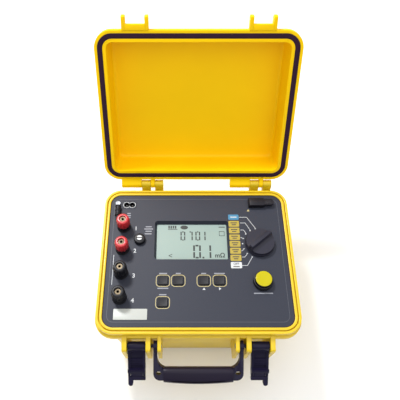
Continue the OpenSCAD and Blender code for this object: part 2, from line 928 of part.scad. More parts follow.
module port_block() {
    color("dimgray") translate([port_x, port_y, panel_top]) difference() {
        union() {
            translate([0, 0, port_rise / 2]) cube([port_w, port_d, port_rise], center = true);
            translate([0, 0, -port_drop / 2])
                cube([port_w - 2 * port_skirt - 2 * run_fit, port_d - 2 * port_skirt - 2 * run_fit,
                    port_drop], center = true);
        }
        translate([0, 0, port_rise - port_hole_deep / 2 + over / 2])
            cube([port_hole_w, port_hole_d, port_hole_deep + over], center = true);
    }
}

module port_cover() {
    low = panel_top + port_rise + gap;
    color("black") {
        translate([port_x - port_w / 2 + port_pin_r, port_y - port_d / 2, low])
            cube([port_w - port_pin_r, port_d, port_cover_t]);
        translate([port_x - port_w / 2 + port_pin_r, port_y, low + port_pin_r])
            rotate([90, 0, 0]) cylinder(h = port_d, r = port_pin_r, center = true);
        translate([port_x + port_w / 2 - over, port_y - port_tab_r, low]) {
            cube([port_tab_len - port_tab_r + over, 2 * port_tab_r, port_tab_t]);
            translate([port_tab_len - port_tab_r + over, port_tab_r, 0])
                cylinder(h = port_tab_t, r = port_tab_r);
        }
    }
}

module label_plate() {
    color("white") translate([label_x, label_y, panel_top])
        linear_extrude(label_t) round_rect(label_w, label_d, label_r);
}

// Lid parts are drawn closed and turned about the hinge axis
module opened() {
    translate([0, hinge_y, hinge_z]) rotate([-lid_open, 0, 0])
        translate([0, -hinge_y, -hinge_z]) children();
}

// Two prongs and the bridge that a latch hooks over
module lid_catch(x) {
    front = -case_d / 2;
    half = latch_w / 2 + catch_gap;
    for (side = [-half - prong_t, half])
        side_plate(x + side, prong_t)
            polygon([[front + lid_wall_in, lid_low_z], [front - prong_out, lid_low_z],
                [front - prong_out, lid_low_z + prong_h * leaf_share],
                [front - prong_out * leaf_share, lid_low_z + prong_h],
                [front + lid_wall_in, lid_low_z + prong_h]]);
    side_plate(x - half - over, 2 * (half + over))
        polygon([[front + lid_wall_in, lid_low_z], [front - bridge_out, lid_low_z],
            [front - bridge_out, bridge_z], [front + lid_wall_in, bridge_z]]);
}

module lid_shell() {
    color("gold") opened() difference() {
        union() {
            plate(case_w, case_d, lid_flange_h - lid_gap, corner_r, lid_low_z);
            leaning(lid_wall_w, lid_wall_d, lid_h - lid_bevel_h - lid_flange_h, lid_wall_r,
                lid_flange_z, -lid_draft);
            leaning(lid_wall_w - 2 * lid_draft, lid_wall_d - 2 * lid_draft, lid_bevel_h,
                lid_shoulder_r, case_h - lid_bevel_h, -lid_bevel);
            for (x = [-latch_x, latch_x]) lid_catch(x);
            for (x = hinge_starts) {
                knuckle(x, lid_long_knuckle) lid_leaf();
                knuckle(x + lid_short_at, lid_short_knuckle) lid_leaf();
            }
        }
        leaning(hollow_w, hollow_d, hollow_h, hollow_r, lid_low_z, -hollow_in);
        plate(hollow_w, hollow_d, over + run_fit, hollow_r, lid_low_z - over);
        rim_ring(gasket_in, gasket_w, gasket_deep + over, lid_low_z - over);
        for (x = hinge_starts)
            x_rod(x - over, hinge_len, hinge_pin_r + run_fit, hinge_y, hinge_z);
    }
}

module lid_gasket() {
    color("black") opened()
        rim_ring(gasket_in, gasket_w, gasket_deep + lid_gap - seal_gap, rim_z + seal_gap);
}

// Latch parts point forward along -Y with their inner face up, then hang at their rest angle
module latch_at_rest(side) {
    translate([side * latch_x, pivot_y, pivot_z]) rotate([latch_rest, 0, 0]) children();
}

module latch_body() {
    difference() {
        union() {
            side_plate(-latch_w / 2, latch_w) {
                circle(pivot_eye_r);
                polygon([[0, latch_inner], [-arm_end_u, latch_inner], [-arm_end_u, -latch_outer],
                    [0, -pivot_eye_r]]);
                polygon([[-hook_u, 0], [-hook_u, hook_reach], [-hook_u - hook_t, hook_reach - over],
                    [-hook_u - hook_t - over, 0]]);
            }
            for (x = [-latch_w / 2, latch_w / 2 - cheek_t])
                side_plate(x, cheek_t)
                    polygon([[-arm_end_u + over, latch_inner - over],
                        [-arm_end_u - cheek_len, latch_inner - over],
                        [-arm_end_u - cheek_len, -latch_outer + over], [-arm_end_u + over, -latch_outer]]);
        }
        x_rod(-latch_w / 2 - over, latch_w + 2 * over, pivot_pin_r + run_fit, 0, 0);
        x_rod(-latch_w / 2 - over, latch_w + 2 * over, trigger_pin_r + run_fit, -trigger_u, -trigger_v);
        for (i = [0 : latch_ribs - 1])
            translate([-latch_w / 2 + cheek_t, -pivot_eye_r - over - (i + 1) * rib_pitch,
                latch_inner - rib_deep])
                cube([latch_w - 2 * cheek_t, rib_cut_w, rib_deep + over]);
        x_rod(-latch_w / 2 + cheek_t - gap, latch_w - 2 * cheek_t + 2 * gap,
            trigger_eye_r + gap, -trigger_u, -trigger_v);
    }
}

// The trigger's finger stands on the side away from the handle
module latch_trigger_body(side) {
    inner_w = latch_w - 2 * cheek_t - 2 * gap;
    start_u = arm_end_u + cheek_len + slack;
    difference() {
        union() {
            x_rod(-inner_w / 2, inner_w, trigger_eye_r, -trigger_u, -trigger_v);
            side_plate(-inner_w / 2, inner_w)
                polygon([[-trigger_u, -trigger_v + trigger_eye_r - over], [-start_u - over, 0],
                    [-start_u - over, -latch_outer + over],
                    [-trigger_u, -trigger_v - trigger_eye_r + over]]);
            side_plate(-latch_w / 2, latch_w)
                polygon([[-start_u, 0], [-latch_len - over, 0], [-latch_len - over, -latch_outer + over],
                    [-start_u - trigger_relief, -latch_outer + over], [-start_u, -trigger_v]]);
            translate([side * (latch_w - finger_w) / 2, -latch_len - over, -latch_outer + over]) {
                translate([-finger_w / 2, -finger_len + finger_w / 2, 0])
                    cube([finger_w, finger_len - trigger_relief, latch_outer - over]);
                translate([0, -finger_len + finger_w / 2, 0])
                    cylinder(h = latch_outer - over, r = finger_w / 2);
            }
        }
        x_rod(-latch_w, 2 * latch_w, trigger_pin_r + run_fit, -trigger_u, -trigger_v);
    }
}

module trigger_pin() {
    x_rod(-latch_w / 2, latch_w, trigger_pin_r, -trigger_u, -trigger_v);
}

module latch_left() { color("black") latch_at_rest(-1) latch_body(); }
module latch_right() { color("black") latch_at_rest(1) latch_body(); }
module latch_trigger_left() { color("dimgray") latch_at_rest(-1) latch_trigger_body(-1); }
module latch_trigger_right() { color("dimgray") latch_at_rest(1) latch_trigger_body(1); }
module trigger_pin_left() { color("silver") latch_at_rest(-1) trigger_pin(); }
module trigger_pin_right() { color("silver") latch_at_rest(1) trigger_pin(); }

// Handle parts lie level with their length along -Y, then hang at their rest angle
module handle_at_rest() {
    translate([0, pivot_y, pivot_z]) rotate([handle_rest, 0, 0]) children();
}

module handle_bar_outline() {
    half = handle_w / 2;
    difference() {
        union() {
            for (s = [-1, 1]) translate([s * (half - corner_out_r), -handle_len + corner_out_r])
                circle(corner_out_r);
            translate([-half + corner_out_r, -handle_len])
                square([handle_w - 2 * corner_out_r, handle_len]);
            translate([-half, -handle_len + corner_out_r])
                square([handle_w, handle_len - corner_out_r]);
        }
        translate([-half + arm_t, -bar_u + corner_in_r]) square([handle_w - 2 * arm_t, handle_len]);
        translate([-half + arm_t + corner_in_r, -bar_u])
            square([handle_w - 2 * (arm_t + corner_in_r), handle_len]);
        for (s = [-1, 1]) {
            translate([s * (half - arm_t - corner_in_r), -bar_u + corner_in_r]) circle(corner_in_r);
            for (e = [-1, 1]) translate([s * (half - eye_slot_in) + e * eye_slot_len / 2, -eye_slot_u])
                circle(eye_slot_r);
            translate([s * (half - eye_slot_in), -eye_slot_u])
                square([eye_slot_len, 2 * eye_slot_r], center = true);
        }
    }
}

module handle_frame() {
    color("black") handle_at_rest() difference() {
        union() {
            translate([0, 0, -handle_t / 2]) linear_extrude(handle_t) handle_bar_outline();
            for (x = [-handle_w / 2, handle_w / 2 - arm_t]) x_rod(x, arm_t, handle_eye_r, 0, 0);
        }
        x_rod(-handle_w, 2 * handle_w, pivot_pin_r + run_fit, 0, 0);
    }
}

module handle_grip() {
    arch_r = (pow(grip_len / 2, 2) + pow(grip_arch, 2)) / (2 * grip_arch);
    mid_u = bar_u - grip_in + grip_h / 2;
    color("black") handle_at_rest() difference() {
        intersection() {
            side_plate(-grip_len / 2, grip_len) {
                translate([-mid_u, 0]) square([grip_h - grip_t, grip_t], center = true);
                for (s = [-1, 1]) translate([-mid_u + s * (grip_h - grip_t) / 2, 0]) circle(grip_t / 2);
            }
            translate([0, arch_r - mid_u - grip_h / 2, -grip_t])
                cylinder(h = 2 * grip_t, r = arch_r, $fn = fine_fn);
        }
        translate([0, 0, -handle_t / 2]) linear_extrude(handle_t) handle_bar_outline();
    }
}

// Knob: a skirted disc with a grip bar left between two scoops
module selector_knob() {
    scoop_at = knob_bar_w / 2 + knob_d / 2;
    color("darkslategray") translate([knob_x, knob_y, panel_top + knob_seat]) difference() {
        rotate_extrude() polygon([[0, 0], [knob_d / 2, 0], [knob_d / 2, knob_skirt_h],
            [knob_d / 2 - knob_edge, knob_h - knob_edge], [knob_d / 2 - 2 * knob_edge, knob_h],
            [0, knob_h]]);
        rotate([0, 0, knob_bar_rest]) for (s = [-1, 1]) intersection() {
            translate([0, s * scoop_at, knob_h / 2]) cube([knob_d, knob_d, 2 * knob_h], center = true);
            translate([0, 0, knob_h + knob_scoop_r - knob_scoop_deep]) rotate([0, 90, 0])
                translate([0, s * (scoop_at - knob_d / 4), 0])
                    cylinder(h = 2 * knob_d, r = knob_scoop_r, center = true, $fn = fine_fn);
        }
        translate([0, 0, -over]) cylinder(h = knob_bore_h + over, r = shaft_r + run_fit);
        translate([0, 0, -over]) cylinder(h = bush_rise + over, r = bush_r + slack);
    }
}

module selector_shaft() {
    low = panel_low - switch_h / 2 + gap;
    color("silver") translate([knob_x, knob_y, low])
        cylinder(h = panel_top + knob_seat + knob_bore_h - low, r = shaft_r);
}

module start_button() {
    top = panel_top + start_rise;
    color("yellow") translate([start_x, start_y, 0]) {
        translate([0, 0, top - start_cap_t]) rotate_extrude()
            polygon([[0, 0], [start_d / 2, 0], [start_d / 2, start_cap_t - over],
                [start_d / 2 - over, start_cap_t], [0, start_cap_t]]);
        translate([0, 0, panel_low - stem_deep])
            cylinder(h = top - start_cap_t - panel_low + stem_deep + over, r = stem_r);
    }
}

module key_at(i) {
    p = key_places[i];
    color("dimgray") translate([p.x, p.y, 0]) {
        translate([0, 0, panel_low - gap]) linear_extrude(panel_t + key_rise + gap)
            round_rect(key_s, key_deep, key_r);
        translate([0, 0, panel_low - gap - key_lip_t]) linear_extrude(key_lip_t)
            round_rect(key_s + 2 * key_lip, key_deep + 2 * key_lip, key_r);
        translate([0, 0, panel_low - gap - key_lip_t - key_stem_h / 2])
            cube([key_stem, key_stem, key_stem_h + over / 2], center = true);
    }
}

module key_store() { key_at(0); }
module key_recall() { key_at(1); }
module key_up() { key_at(2); }
module key_side() { key_at(3); }
module key_clear() { key_at(4); }

module terminal_cap(i, tint) {
    low = panel_top + post_base_h + cap_lift;
    color(tint) translate([post_x, post_ys[i], low]) difference() {
        rotate_extrude() polygon([[0, 0], [cap_d / 2, 0], [cap_d / 2, cap_h - cap_crown_h],
            [cap_d / 2 - over, cap_h], [0, cap_h]]);
        for (k = [0 : cap_flutes - 1]) rotate([0, 0, k * 360 / cap_flutes])
            translate([cap_d / 2 + cap_flute_r / 2, 0, -over])
                cylinder(h = cap_h * cap_flute_share, r = cap_flute_r);
        translate([0, 0, -over]) cylinder(h = panel_top + stud_rise + gap - low + over, r = cap_bore_r);
        translate([0, 0, -over]) cylinder(h = cap_h + 2 * over, r = cap_mouth_r);
    }
}

module cap_current_1() { terminal_cap(0, "crimson"); }
module cap_potential_1() { terminal_cap(1, "crimson"); }
module cap_potential_2() { terminal_cap(2, "black"); }
module cap_current_2() { terminal_cap(3, "black"); }

lower_shell();
rim_frame();
front_ears();
hinge_leaves();
rubber_feet();
case_screws();
hinge_pins();
pivot_pins();
front_panel();
panel_seal();
lcd_window();
lcd_module();
display_board();
key_board();
tact_switches();
main_board();
board_standoffs();
heat_sink();
battery_pack();
battery_bracket();
charger_transformer();
rotary_switch();
start_switch();
start_collar();
post_bases();
post_studs();
post_nuts();
post_leads();
mains_inlet();
inlet_pins();
inlet_dust_plug();
strap_screw();
fuse_holder();
fuse_link();
port_block();
label_plate();
lid_shell();
lid_gasket();
handle_frame();
handle_grip();
latch_left();
latch_right();
latch_trigger_left();
latch_trigger_right();
trigger_pin_left();
trigger_pin_right();
selector_knob();
selector_shaft();
start_button();
key_store();
key_recall();
key_up();
key_side();
key_clear();
cap_current_1();
cap_potential_1();
cap_potential_2();
cap_current_2();
fuse_cap();
port_cover();
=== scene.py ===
"""Portable micro ohmmeter in a yellow hard case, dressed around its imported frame.

Every size below is in millimetres and goes to Blender's metres in one place, the Sculpt class.
The origin is on the ground, midway between the four feet; +Z is up, +Y is the hinged back.
"""

import logging
import math
from contextlib import contextmanager
from dataclasses import dataclass
from enum import Enum
from typing import Callable, Iterator, Sequence

import bmesh
import bpy
from mathutils import Matrix, Vector


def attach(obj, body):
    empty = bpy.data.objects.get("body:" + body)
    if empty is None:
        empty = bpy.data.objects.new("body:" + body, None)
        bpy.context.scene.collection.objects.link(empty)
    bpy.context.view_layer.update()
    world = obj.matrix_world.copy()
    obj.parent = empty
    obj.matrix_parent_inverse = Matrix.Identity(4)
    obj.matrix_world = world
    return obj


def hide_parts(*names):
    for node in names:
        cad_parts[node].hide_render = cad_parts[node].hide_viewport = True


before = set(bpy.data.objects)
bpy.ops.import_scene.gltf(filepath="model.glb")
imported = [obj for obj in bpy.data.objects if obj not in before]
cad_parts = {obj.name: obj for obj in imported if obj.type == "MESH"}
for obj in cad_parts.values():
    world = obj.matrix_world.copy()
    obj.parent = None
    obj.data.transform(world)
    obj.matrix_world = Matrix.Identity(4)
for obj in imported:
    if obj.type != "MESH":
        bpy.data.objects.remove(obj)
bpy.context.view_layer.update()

log = logging.getLogger("micro_ohmmeter")
Point = tuple[float, float, float]
Flat = tuple[float, float]
Colour = tuple[float, float, float]
MM = 0.001


class Axis(Enum):
    """A direction that a shape is drawn or turned along."""

    X = "X"
    Y = "Y"
    Z = "Z"


# ---------------------------------------------------------------- materials


class Term:
    """A shader value whose Python operators add the Math nodes they stand for."""

    def __init__(self, tree: bpy.types.NodeTree, socket: bpy.types.NodeSocket) -> None:
        """Wraps one output socket.

        Args:
            tree: the node tree that holds it.
            socket: the output that carries the value.
        """
        self.tree = tree
        self.socket = socket

    def _math(self, operation: str, other: "Term | float", swap: bool = False) -> "Term":
        """Adds a Math node on this value and another.

        Args:
            operation: the Math node's operation.
            other: the second value.
            swap: whether the second value comes first.

        Returns:
            The node's result.
        """
        node = self.tree.nodes.new("ShaderNodeMath")
        node.operation = operation
        pair = (other, self) if swap else (self, other)
        for slot, value in zip(node.inputs, pair):
            if isinstance(value, Term):
                self.tree.links.new(value.socket, slot)
            else:
                slot.default_value = value
        return Term(self.tree, node.outputs[0])

    def __add__(self, other: "Term | float") -> "Term":
        """Sum."""
        return self._math("ADD", other)

    __radd__ = __add__

    def __sub__(self, other: "Term | float") -> "Term":
        """Difference."""
        return self._math("SUBTRACT", other)

    def __rsub__(self, other: float) -> "Term":
        """Difference from a number."""
        return self._math("SUBTRACT", other, swap=True)

    def __mul__(self, other: "Term | float") -> "Term":
        """Product."""
        return self._math("MULTIPLY", other)


class Graph:
    """Node tree of one material, with its shader and its Object coordinates."""

    def __init__(self, name: str) -> None:
        """Starts a material.

        Args:
            name: the material's name.
        """
        self.material = bpy.data.materials.new(name)
        self.material.use_nodes = True
        self.tree = self.material.node_tree
        self.shader = self.tree.nodes["Principled BSDF"]
        self.place = self.add("ShaderNodeTexCoord").outputs["Object"]

    def add(
        self, kind: str, settings: dict | None = None, values: dict | None = None
    ) -> bpy.types.Node:
        """Adds a node.

        Args:
            kind: the node's type.
            settings: attributes to set first.
            values: socket names or places, with a number, colour, socket or Term for each.

        Returns:
            The node.
        """
        node = self.tree.nodes.new(kind)
        for key, value in (settings or {}).items():
            setattr(node, key, value)
        for key, value in (values or {}).items():
            self.feed(node.inputs[key], value)
        return node

    def feed(self, slot: bpy.types.NodeSocket, value: object) -> None:
        """Links or sets one input.

        Args:
            slot: the input.
            value: a Term, an output socket, a colour or a number.
        """
        if isinstance(value, Term):
            self.tree.links.new(value.socket, slot)
        elif isinstance(value, bpy.types.NodeSocket):
            self.tree.links.new(value, slot)
        elif isinstance(value, tuple) and len(value) == 3 and slot.type == "RGBA":
            slot.default_value = (*value, 1.0)
        else:
            slot.default_value = value

    def noise(self, scale: float, detail: float = 2.0, rough: float = 0.5) -> Term:
        """Noise over the piece.

        Args:
            scale: features per metre.
            detail: octaves.
            rough: strength of the fine octaves.

        Returns:
            A value from 0 to 1.
        """
        values = {"Vector": self.place, "Scale": scale, "Detail": detail, "Roughness": rough}
        return Term(self.tree, self.add("ShaderNodeTexNoise", None, values).outputs[0])

    def cells(self, scale: float) -> Term:
        """Distance to the nearest of scattered points.

        Args:
            scale: points per metre.

        Returns:
            The distance, 0 at a point.
        """
        values = {"Vector": self.place, "Scale": scale}
        return Term(self.tree, self.add("ShaderNodeTexVoronoi", None, values).outputs["Distance"])

    def stripes(self, scale: float, axis: Axis) -> Term:
        """Even bands across an axis.

        Args:
            scale: bands per metre, about.
            axis: the axis they repeat along.

        Returns:
            A value from 0 to 1.
        """
        settings = {"wave_type": "BANDS", "bands_direction": axis.value}
        values = {"Vector": self.place, "Scale": scale, "Distortion": 0.6, "Detail": 1.0}
        return Term(self.tree, self.add("ShaderNodeTexWave", settings, values).outputs[1])

    def ramp(self, value: Term, low: float, high: float) -> Term:
        """Spreads part of a value over 0 to 1.

        Args:
            value: what is spread.
            low: what becomes 0.
            high: what becomes 1.

        Returns:
            The spread value, held between 0 and 1.
        """
        values = {"Value": value, "From Min": low, "From Max": high}
        return Term(self.tree, self.add("ShaderNodeMapRange", {"clamp": True}, values).outputs[0])

    def mix(self, mask: Term, first: object, second: object) -> bpy.types.NodeSocket:
        """Blends two colours.

        Args:
            mask: 0 for the first, 1 for the second.
            first: a colour or a colour socket.
            second: a colour or a colour socket.

        Returns:
            The blended colour.
        """
        node = self.add("ShaderNodeMix", {"data_type": "RGBA"})
        self.feed(node.inputs[0], mask)
        self.feed(node.inputs[6], first)
        self.feed(node.inputs[7], second)
        return node.outputs[2]

    def bump(self, height: Term, depth_mm: float, strength: float = 1.0) -> None:
        """Feeds a height to the shader's normal.

        Args:
            height: the height, 0 to 1.
            depth_mm: how far 1 stands over 0.
            strength: how much of it shows.
        """
        values = {"Height": height, "Distance": depth_mm * MM, "Strength": strength}
        node = self.add("ShaderNodeBump", None, values)
        self.feed(self.shader.inputs["Normal"], node.outputs[0])

    def set(self, **sockets: object) -> None:
        """Feeds the shader's own inputs, named with underscores for spaces."""
        for key, value in sockets.items():
            self.feed(self.shader.inputs[key.replace("_", " ")], value)


def shade(colour: Colour, factor: float) -> Colour:
    """A colour made lighter or darker.

    Args:
        colour: the colour.
        factor: what each channel is multiplied by.

    Returns:
        The new colour, each channel at most 1.
    """
    return tuple(min(1.0, channel * factor) for channel in colour)


@dataclass(frozen=True)
class Moulded:
    """Moulded plastic: a spark-eroded grain, slow colour drift, rubbed spots and dust."""

    name: str
    colour: Colour
    roughness: float = 0.42
    drift: float = 0.05
    grain_mm: float = 0.5
    depth_mm: float = 0.012
    rub: float = 0.10
    coat: float = 0.0
    gloss: float = 0.5

    def build(self) -> bpy.types.Material:
        """Makes the material."""
        graph = Graph(self.name)
        drift = graph.ramp(graph.noise(9.0, 3.0), 0.3, 0.7)
        rubbed = graph.ramp(graph.noise(55.0, 5.0, 0.65), 0.60, 0.72)
        grain = graph.noise(1000.0 / self.grain_mm, 2.0)
        body = graph.mix(
            drift, shade(self.colour, 1 - self.drift), shade(self.colour, 1 + self.drift)
        )
        tone = graph.mix(rubbed * self.rub, body, shade(self.colour, 1.5))
        rough = self.roughness + (grain - 0.5) * 0.12 - rubbed * 0.08 + drift * 0.04
        graph.set(Base_Color=tone, Roughness=rough, Specular_IOR_Level=self.gloss)
        graph.set(Coat_Weight=self.coat, Coat_Roughness=0.12)
        graph.bump(grain * 0.8 + graph.noise(120.0) * 0.6, self.depth_mm)
        return graph.material


@dataclass(frozen=True)
class Speckled:
    """Printed panel film: a fine two-tone mottle on a near-flat sheet."""

    name: str
    colour: Colour
    second: Colour
    roughness: float = 0.5
    gloss: float = 0.3

    def build(self) -> bpy.types.Material:
        """Makes the material."""
        graph = Graph(self.name)
        fine = graph.ramp(graph.noise(900.0, 3.0, 0.7), 0.42, 0.58)
        broad = graph.ramp(graph.noise(14.0, 2.0), 0.3, 0.7)
        tone = graph.mix(fine * 0.55, self.colour, self.second)
        tone = graph.mix(broad * 0.25, tone, shade(self.colour, 1.25))
        graph.set(Base_Color=tone, Roughness=self.roughness + (fine - 0.5) * 0.1)
        graph.set(Specular_IOR_Level=self.gloss)
        graph.bump(fine, 0.01, 0.6)
        return graph.material


@dataclass(frozen=True)
class Rubbery:
    """Soft rubber: matt, faintly powdery, with a skin of small pits."""

    name: str
    colour: Colour
    roughness: float = 0.7
    bloom: float = 0.25
    gloss: float = 0.25

    def build(self) -> bpy.types.Material:
        """Makes the material."""
        graph = Graph(self.name)
        bloom = graph.ramp(graph.noise(38.0, 4.0, 0.6), 0.45, 0.75)
        pits = graph.ramp(graph.cells(1400.0), 0.0, 0.5)
        tone = graph.mix(bloom * self.bloom, self.colour, shade(self.colour, 2.2))
        graph.set(Base_Color=tone, Roughness=self.roughness + (bloom - 0.5) * 0.12)
        graph.set(Specular_IOR_Level=self.gloss)
        graph.bump(pits * 0.7 + bloom * 0.3, 0.02)
        return graph.material


@dataclass(frozen=True)
class Metal:
    """Plated or turned metal with fine tool lines and dulled patches."""

    name: str
    colour: Colour
    roughness: float = 0.28
    lines: Axis = Axis.Z
    line_mm: float = 0.25

    def build(self) -> bpy.types.Material:
        """Makes the material."""
        graph = Graph(self.name)
        lines = graph.stripes(1000.0 / self.line_mm / 6.28, self.lines)
        dull = graph.ramp(graph.noise(90.0, 4.0), 0.45, 0.7)
        tone = graph.mix(dull * 0.4, self.colour, shade(self.colour, 0.72))
        graph.set(
            Base_Color=tone, Metallic=1.0, Roughness=self.roughness + lines * 0.06 + dull * 0.14
        )
        graph.bump(lines, 0.006, 0.5)
        return graph.material


@dataclass(frozen=True)
class Ink:
    """Screen-printed ink: opaque, with pinholes and a slightly thin edge."""

    name: str
    colour: Colour
    under: Colour
    roughness: float = 0.45

    def build(self) -> bpy.types.Material:
        """Makes the material."""
        graph = Graph(self.name)
        thin = graph.ramp(graph.noise(1500.0, 2.0), 0.62, 0.74)
        drift = graph.ramp(graph.noise(60.0, 2.0), 0.3, 0.7)
        tone = graph.mix(drift * 0.3, self.colour, shade(self.colour, 0.88))
        graph.set(
            Base_Color=graph.mix(thin * 0.35, tone, self.under),
            Roughness=self.roughness + thin * 0.1,
        )
        graph.bump(thin, 0.004, 0.4)
        return graph.material


@dataclass(frozen=True)
class Display:
    """Reflective liquid crystal behind its window: pale field with a faint dot raster."""

    name: str
    colour: Colour

    def build(self) -> bpy.types.Material:
        """Makes the material."""
        graph = Graph(self.name)
        rows = graph.stripes(1000.0 / 0.6 / 6.28, Axis.Y)
        cloud = graph.ramp(graph.noise(22.0, 2.0), 0.3, 0.7)
        tone = graph.mix(cloud * 0.5, self.colour, shade(self.colour, 1.08))
        tone = graph.mix(rows * 0.06, tone, shade(self.colour, 0.8))
        graph.set(
            Base_Color=tone, Roughness=0.35 + cloud * 0.05, Coat_Weight=0.25, Coat_Roughness=0.08
        )
        graph.bump(rows, 0.002, 0.2)
        return graph.material


@dataclass(frozen=True)
class Board:
    """Circuit board: solder mask over a web of tracks, with tinned pads."""

    name: str
    colour: Colour

    def build(self) -> bpy.types.Material:
        """Makes the material."""
        graph = Graph(self.name)
        tracks = graph.ramp(graph.stripes(60.0, Axis.X) * graph.stripes(50.0, Axis.Y), 0.35, 0.5)
        pads = 1 - graph.ramp(graph.cells(150.0), 0.16, 0.20)
        tone = graph.mix(tracks, self.colour, shade(self.colour, 1.7))
        graph.set(
            Base_Color=graph.mix(pads, tone, (0.72, 0.70, 0.62)),
            Roughness=0.35 + tracks * 0.1,
            Metallic=pads * 0.8,
        )
        graph.bump(tracks + pads, 0.03)
        return graph.material


@dataclass(frozen=True)
class Seamless:
    """The floor: a pale sheet with hardly any tooth."""

    name: str
    colour: Colour

    def build(self) -> bpy.types.Material:
        """Makes the material."""
        graph = Graph(self.name)
        tooth = graph.noise(700.0, 2.0)
        graph.set(
            Base_Color=graph.mix(tooth * 0.1, self.colour, shade(self.colour, 0.97)), Roughness=0.85
        )
        return graph.material


YELLOW: Colour = (0.70, 0.49, 0.010)
# The lid's yellow is the case's own plastic made brighter and more orange: painted light, for the
# lid's inside, which faces the lamps.
LIT_LID_YELLOW: Colour = (0.97, 0.61, 0.0)
PANEL: Colour = (0.021, 0.024, 0.038)

BORE_RADIUS = 2.6  # round the hinge pins and the front pivot pins
PIN_BORE_RADIUS = 1.3  # round the trigger pins
LATCH_X = 82.0  # a latch's middle from the case's middle
TERMINAL_X = -106.0  # the terminals' row
KNOB_CENTRE: Flat = (90.0, 20.5)
START_CENTRE: Flat = (89.5, -38.0)
RANGE_X = 54.8  # the column of range plates
RANGE_ROWS: tuple[Flat, ...] = (
    (53.0, 9.8), (41.9, 9.4), (30.9, 8.8), (20.3, 9.4), (9.3, 9.4), (-1.7, 9.4)
)
KEY_PLACES: dict[str, Flat] = {
    "store": (-47.7, -36.3),
    "recall": (-26.7, -36.3),
    "up": (8.5, -36.3),
    "side": (30.4, -36.3),
    "clear": (-47.7, -67.6),
}

FINISHES: dict[str, object] = {
    "case": Moulded(
        "case_yellow_plastic", YELLOW, roughness=0.38, drift=0.035, grain_mm=0.6, depth_mm=0.014,
        rub=0.05, coat=0.1, gloss=0.35,
    ),
    # Every lid piece takes that brighter yellow: painted light on the same plastic as the case.
    "lid": Moulded(
        "lid_yellow_painted_light", LIT_LID_YELLOW, roughness=0.46, drift=0.03, grain_mm=0.6, depth_mm=0.014,
        rub=0.04, coat=0.0, gloss=0.15,
    ),
    "latch": Moulded(
        "latch_black_plastic", (0.0075, 0.0058, 0.021), roughness=0.34, drift=0.15, grain_mm=0.5,
        depth_mm=0.02, rub=0.08, coat=0.0, gloss=0.16,
    ),
    "trigger": Moulded(
        "trigger_grey_plastic", (0.011, 0.0085, 0.030), roughness=0.36, drift=0.12, grain_mm=0.5,
        depth_mm=0.02, rub=0.08, coat=0.0, gloss=0.18,
    ),
    "grip": Moulded(
        "grip_black_plastic", (0.0075, 0.0045, 0.016), roughness=0.36, drift=0.15, grain_mm=0.7,
        depth_mm=0.02, rub=0.08, coat=0.0, gloss=0.22,
    ),
    "knob": Moulded(
        "knob_charcoal_plastic", (0.012, 0.0115, 0.025), roughness=0.34, drift=0.1, grain_mm=0.5,
        depth_mm=0.012, rub=0.08, coat=0.0, gloss=0.4,
    ),
    "black": Moulded(
        "black_plastic", (0.005, 0.005, 0.008), roughness=0.38, drift=0.15, grain_mm=0.5,
        depth_mm=0.012, rub=0.1, coat=0.0, gloss=0.3,
    ),
    "key": Moulded(
        "key_black_plastic", (0.006, 0.006, 0.010), roughness=0.50, drift=0.1, grain_mm=0.4,
        depth_mm=0.012, rub=0.08, coat=0.0, gloss=0.35,
    ),
    "red": Moulded(
        "cap_red_plastic", (0.50, 0.018, 0.024), roughness=0.32, drift=0.06, grain_mm=0.6,
        depth_mm=0.008, rub=0.05, coat=0.1,
    ),
    "button": Moulded(
        "button_yellow_plastic", (0.46, 0.40, 0.002), roughness=0.42, drift=0.03, grain_mm=0.5,
        depth_mm=0.010, rub=0.03, coat=0.1, gloss=0.15,
    ),
    "panel": Speckled("panel_slate_film", PANEL, (0.030, 0.034, 0.053)),
    "rubber": Rubbery(
        "seal_black_rubber", (0.026, 0.008, 0.024), roughness=0.7, bloom=0.2, gloss=0.15
    ),
    "foot": Rubbery("foot_black_rubber", (0.018, 0.018, 0.020), roughness=0.8, bloom=0.4),
    "plug": Rubbery(
        "plug_black_rubber", (0.007, 0.006, 0.011), roughness=0.42, bloom=0.2, gloss=0.3
    ),
    "steel": Metal("plated_steel", (0.26, 0.27, 0.30), roughness=0.45),
    "brass": Metal("nickelled_brass", (0.15, 0.12, 0.08), roughness=0.42),
    "aluminium": Metal("extruded_aluminium", (0.72, 0.73, 0.75), roughness=0.34, lines=Axis.X),
    "white_ink": Ink("white_ink", (0.56, 0.58, 0.60), PANEL),
    "grey_ink": Ink("soft_grey_ink", (0.24, 0.25, 0.29), PANEL),
    # The border ring's colour, lighter than the panel, is a painted highlight for the light caught
    # by the panel's embossed border.
    "border_highlight_ink": Ink("painted_border_highlight", (0.075, 0.08, 0.10), PANEL),
    "yellow_ink": Ink("yellow_ink", (0.40, 0.30, 0.032), PANEL),
    "beige_ink": Ink("beige_ink", (0.50, 0.42, 0.19), PANEL),
    "blue_ink": Ink("blue_ink", (0.042, 0.20, 0.36), PANEL),
    "dark_ink": Ink("dark_ink", (0.04, 0.035, 0.03), (0.2, 0.16, 0.06)),
    "label": Ink("label_white_film", (0.47, 0.49, 0.46), (0.6, 0.6, 0.55), 0.35),
    "display": Display("display_field", (0.25, 0.335, 0.305)),
    "segment": Ink("display_segment", (0.022, 0.028, 0.026), (0.2, 0.25, 0.2), 0.3),
    "board": Board("circuit_board", (0.012, 0.10, 0.035)),
    "wrap": Moulded(
        "cell_blue_wrap", (0.015, 0.06, 0.30), roughness=0.25, drift=0.08, grain_mm=0.8,
        depth_mm=0.01, rub=0.05, coat=0.5,
    ),
    "iron": Metal("laminated_iron", (0.16, 0.15, 0.14), roughness=0.5, lines=Axis.Y, line_mm=0.5),
    "lead": Rubbery("lead_red_rubber", (0.22, 0.012, 0.012), roughness=0.45, bloom=0.1),
    "fuse": Moulded(
        "fuse_ceramic", (0.62, 0.60, 0.54), roughness=0.25, drift=0.04, grain_mm=0.8,
        depth_mm=0.006, rub=0.02, coat=0.3,
    ),
}


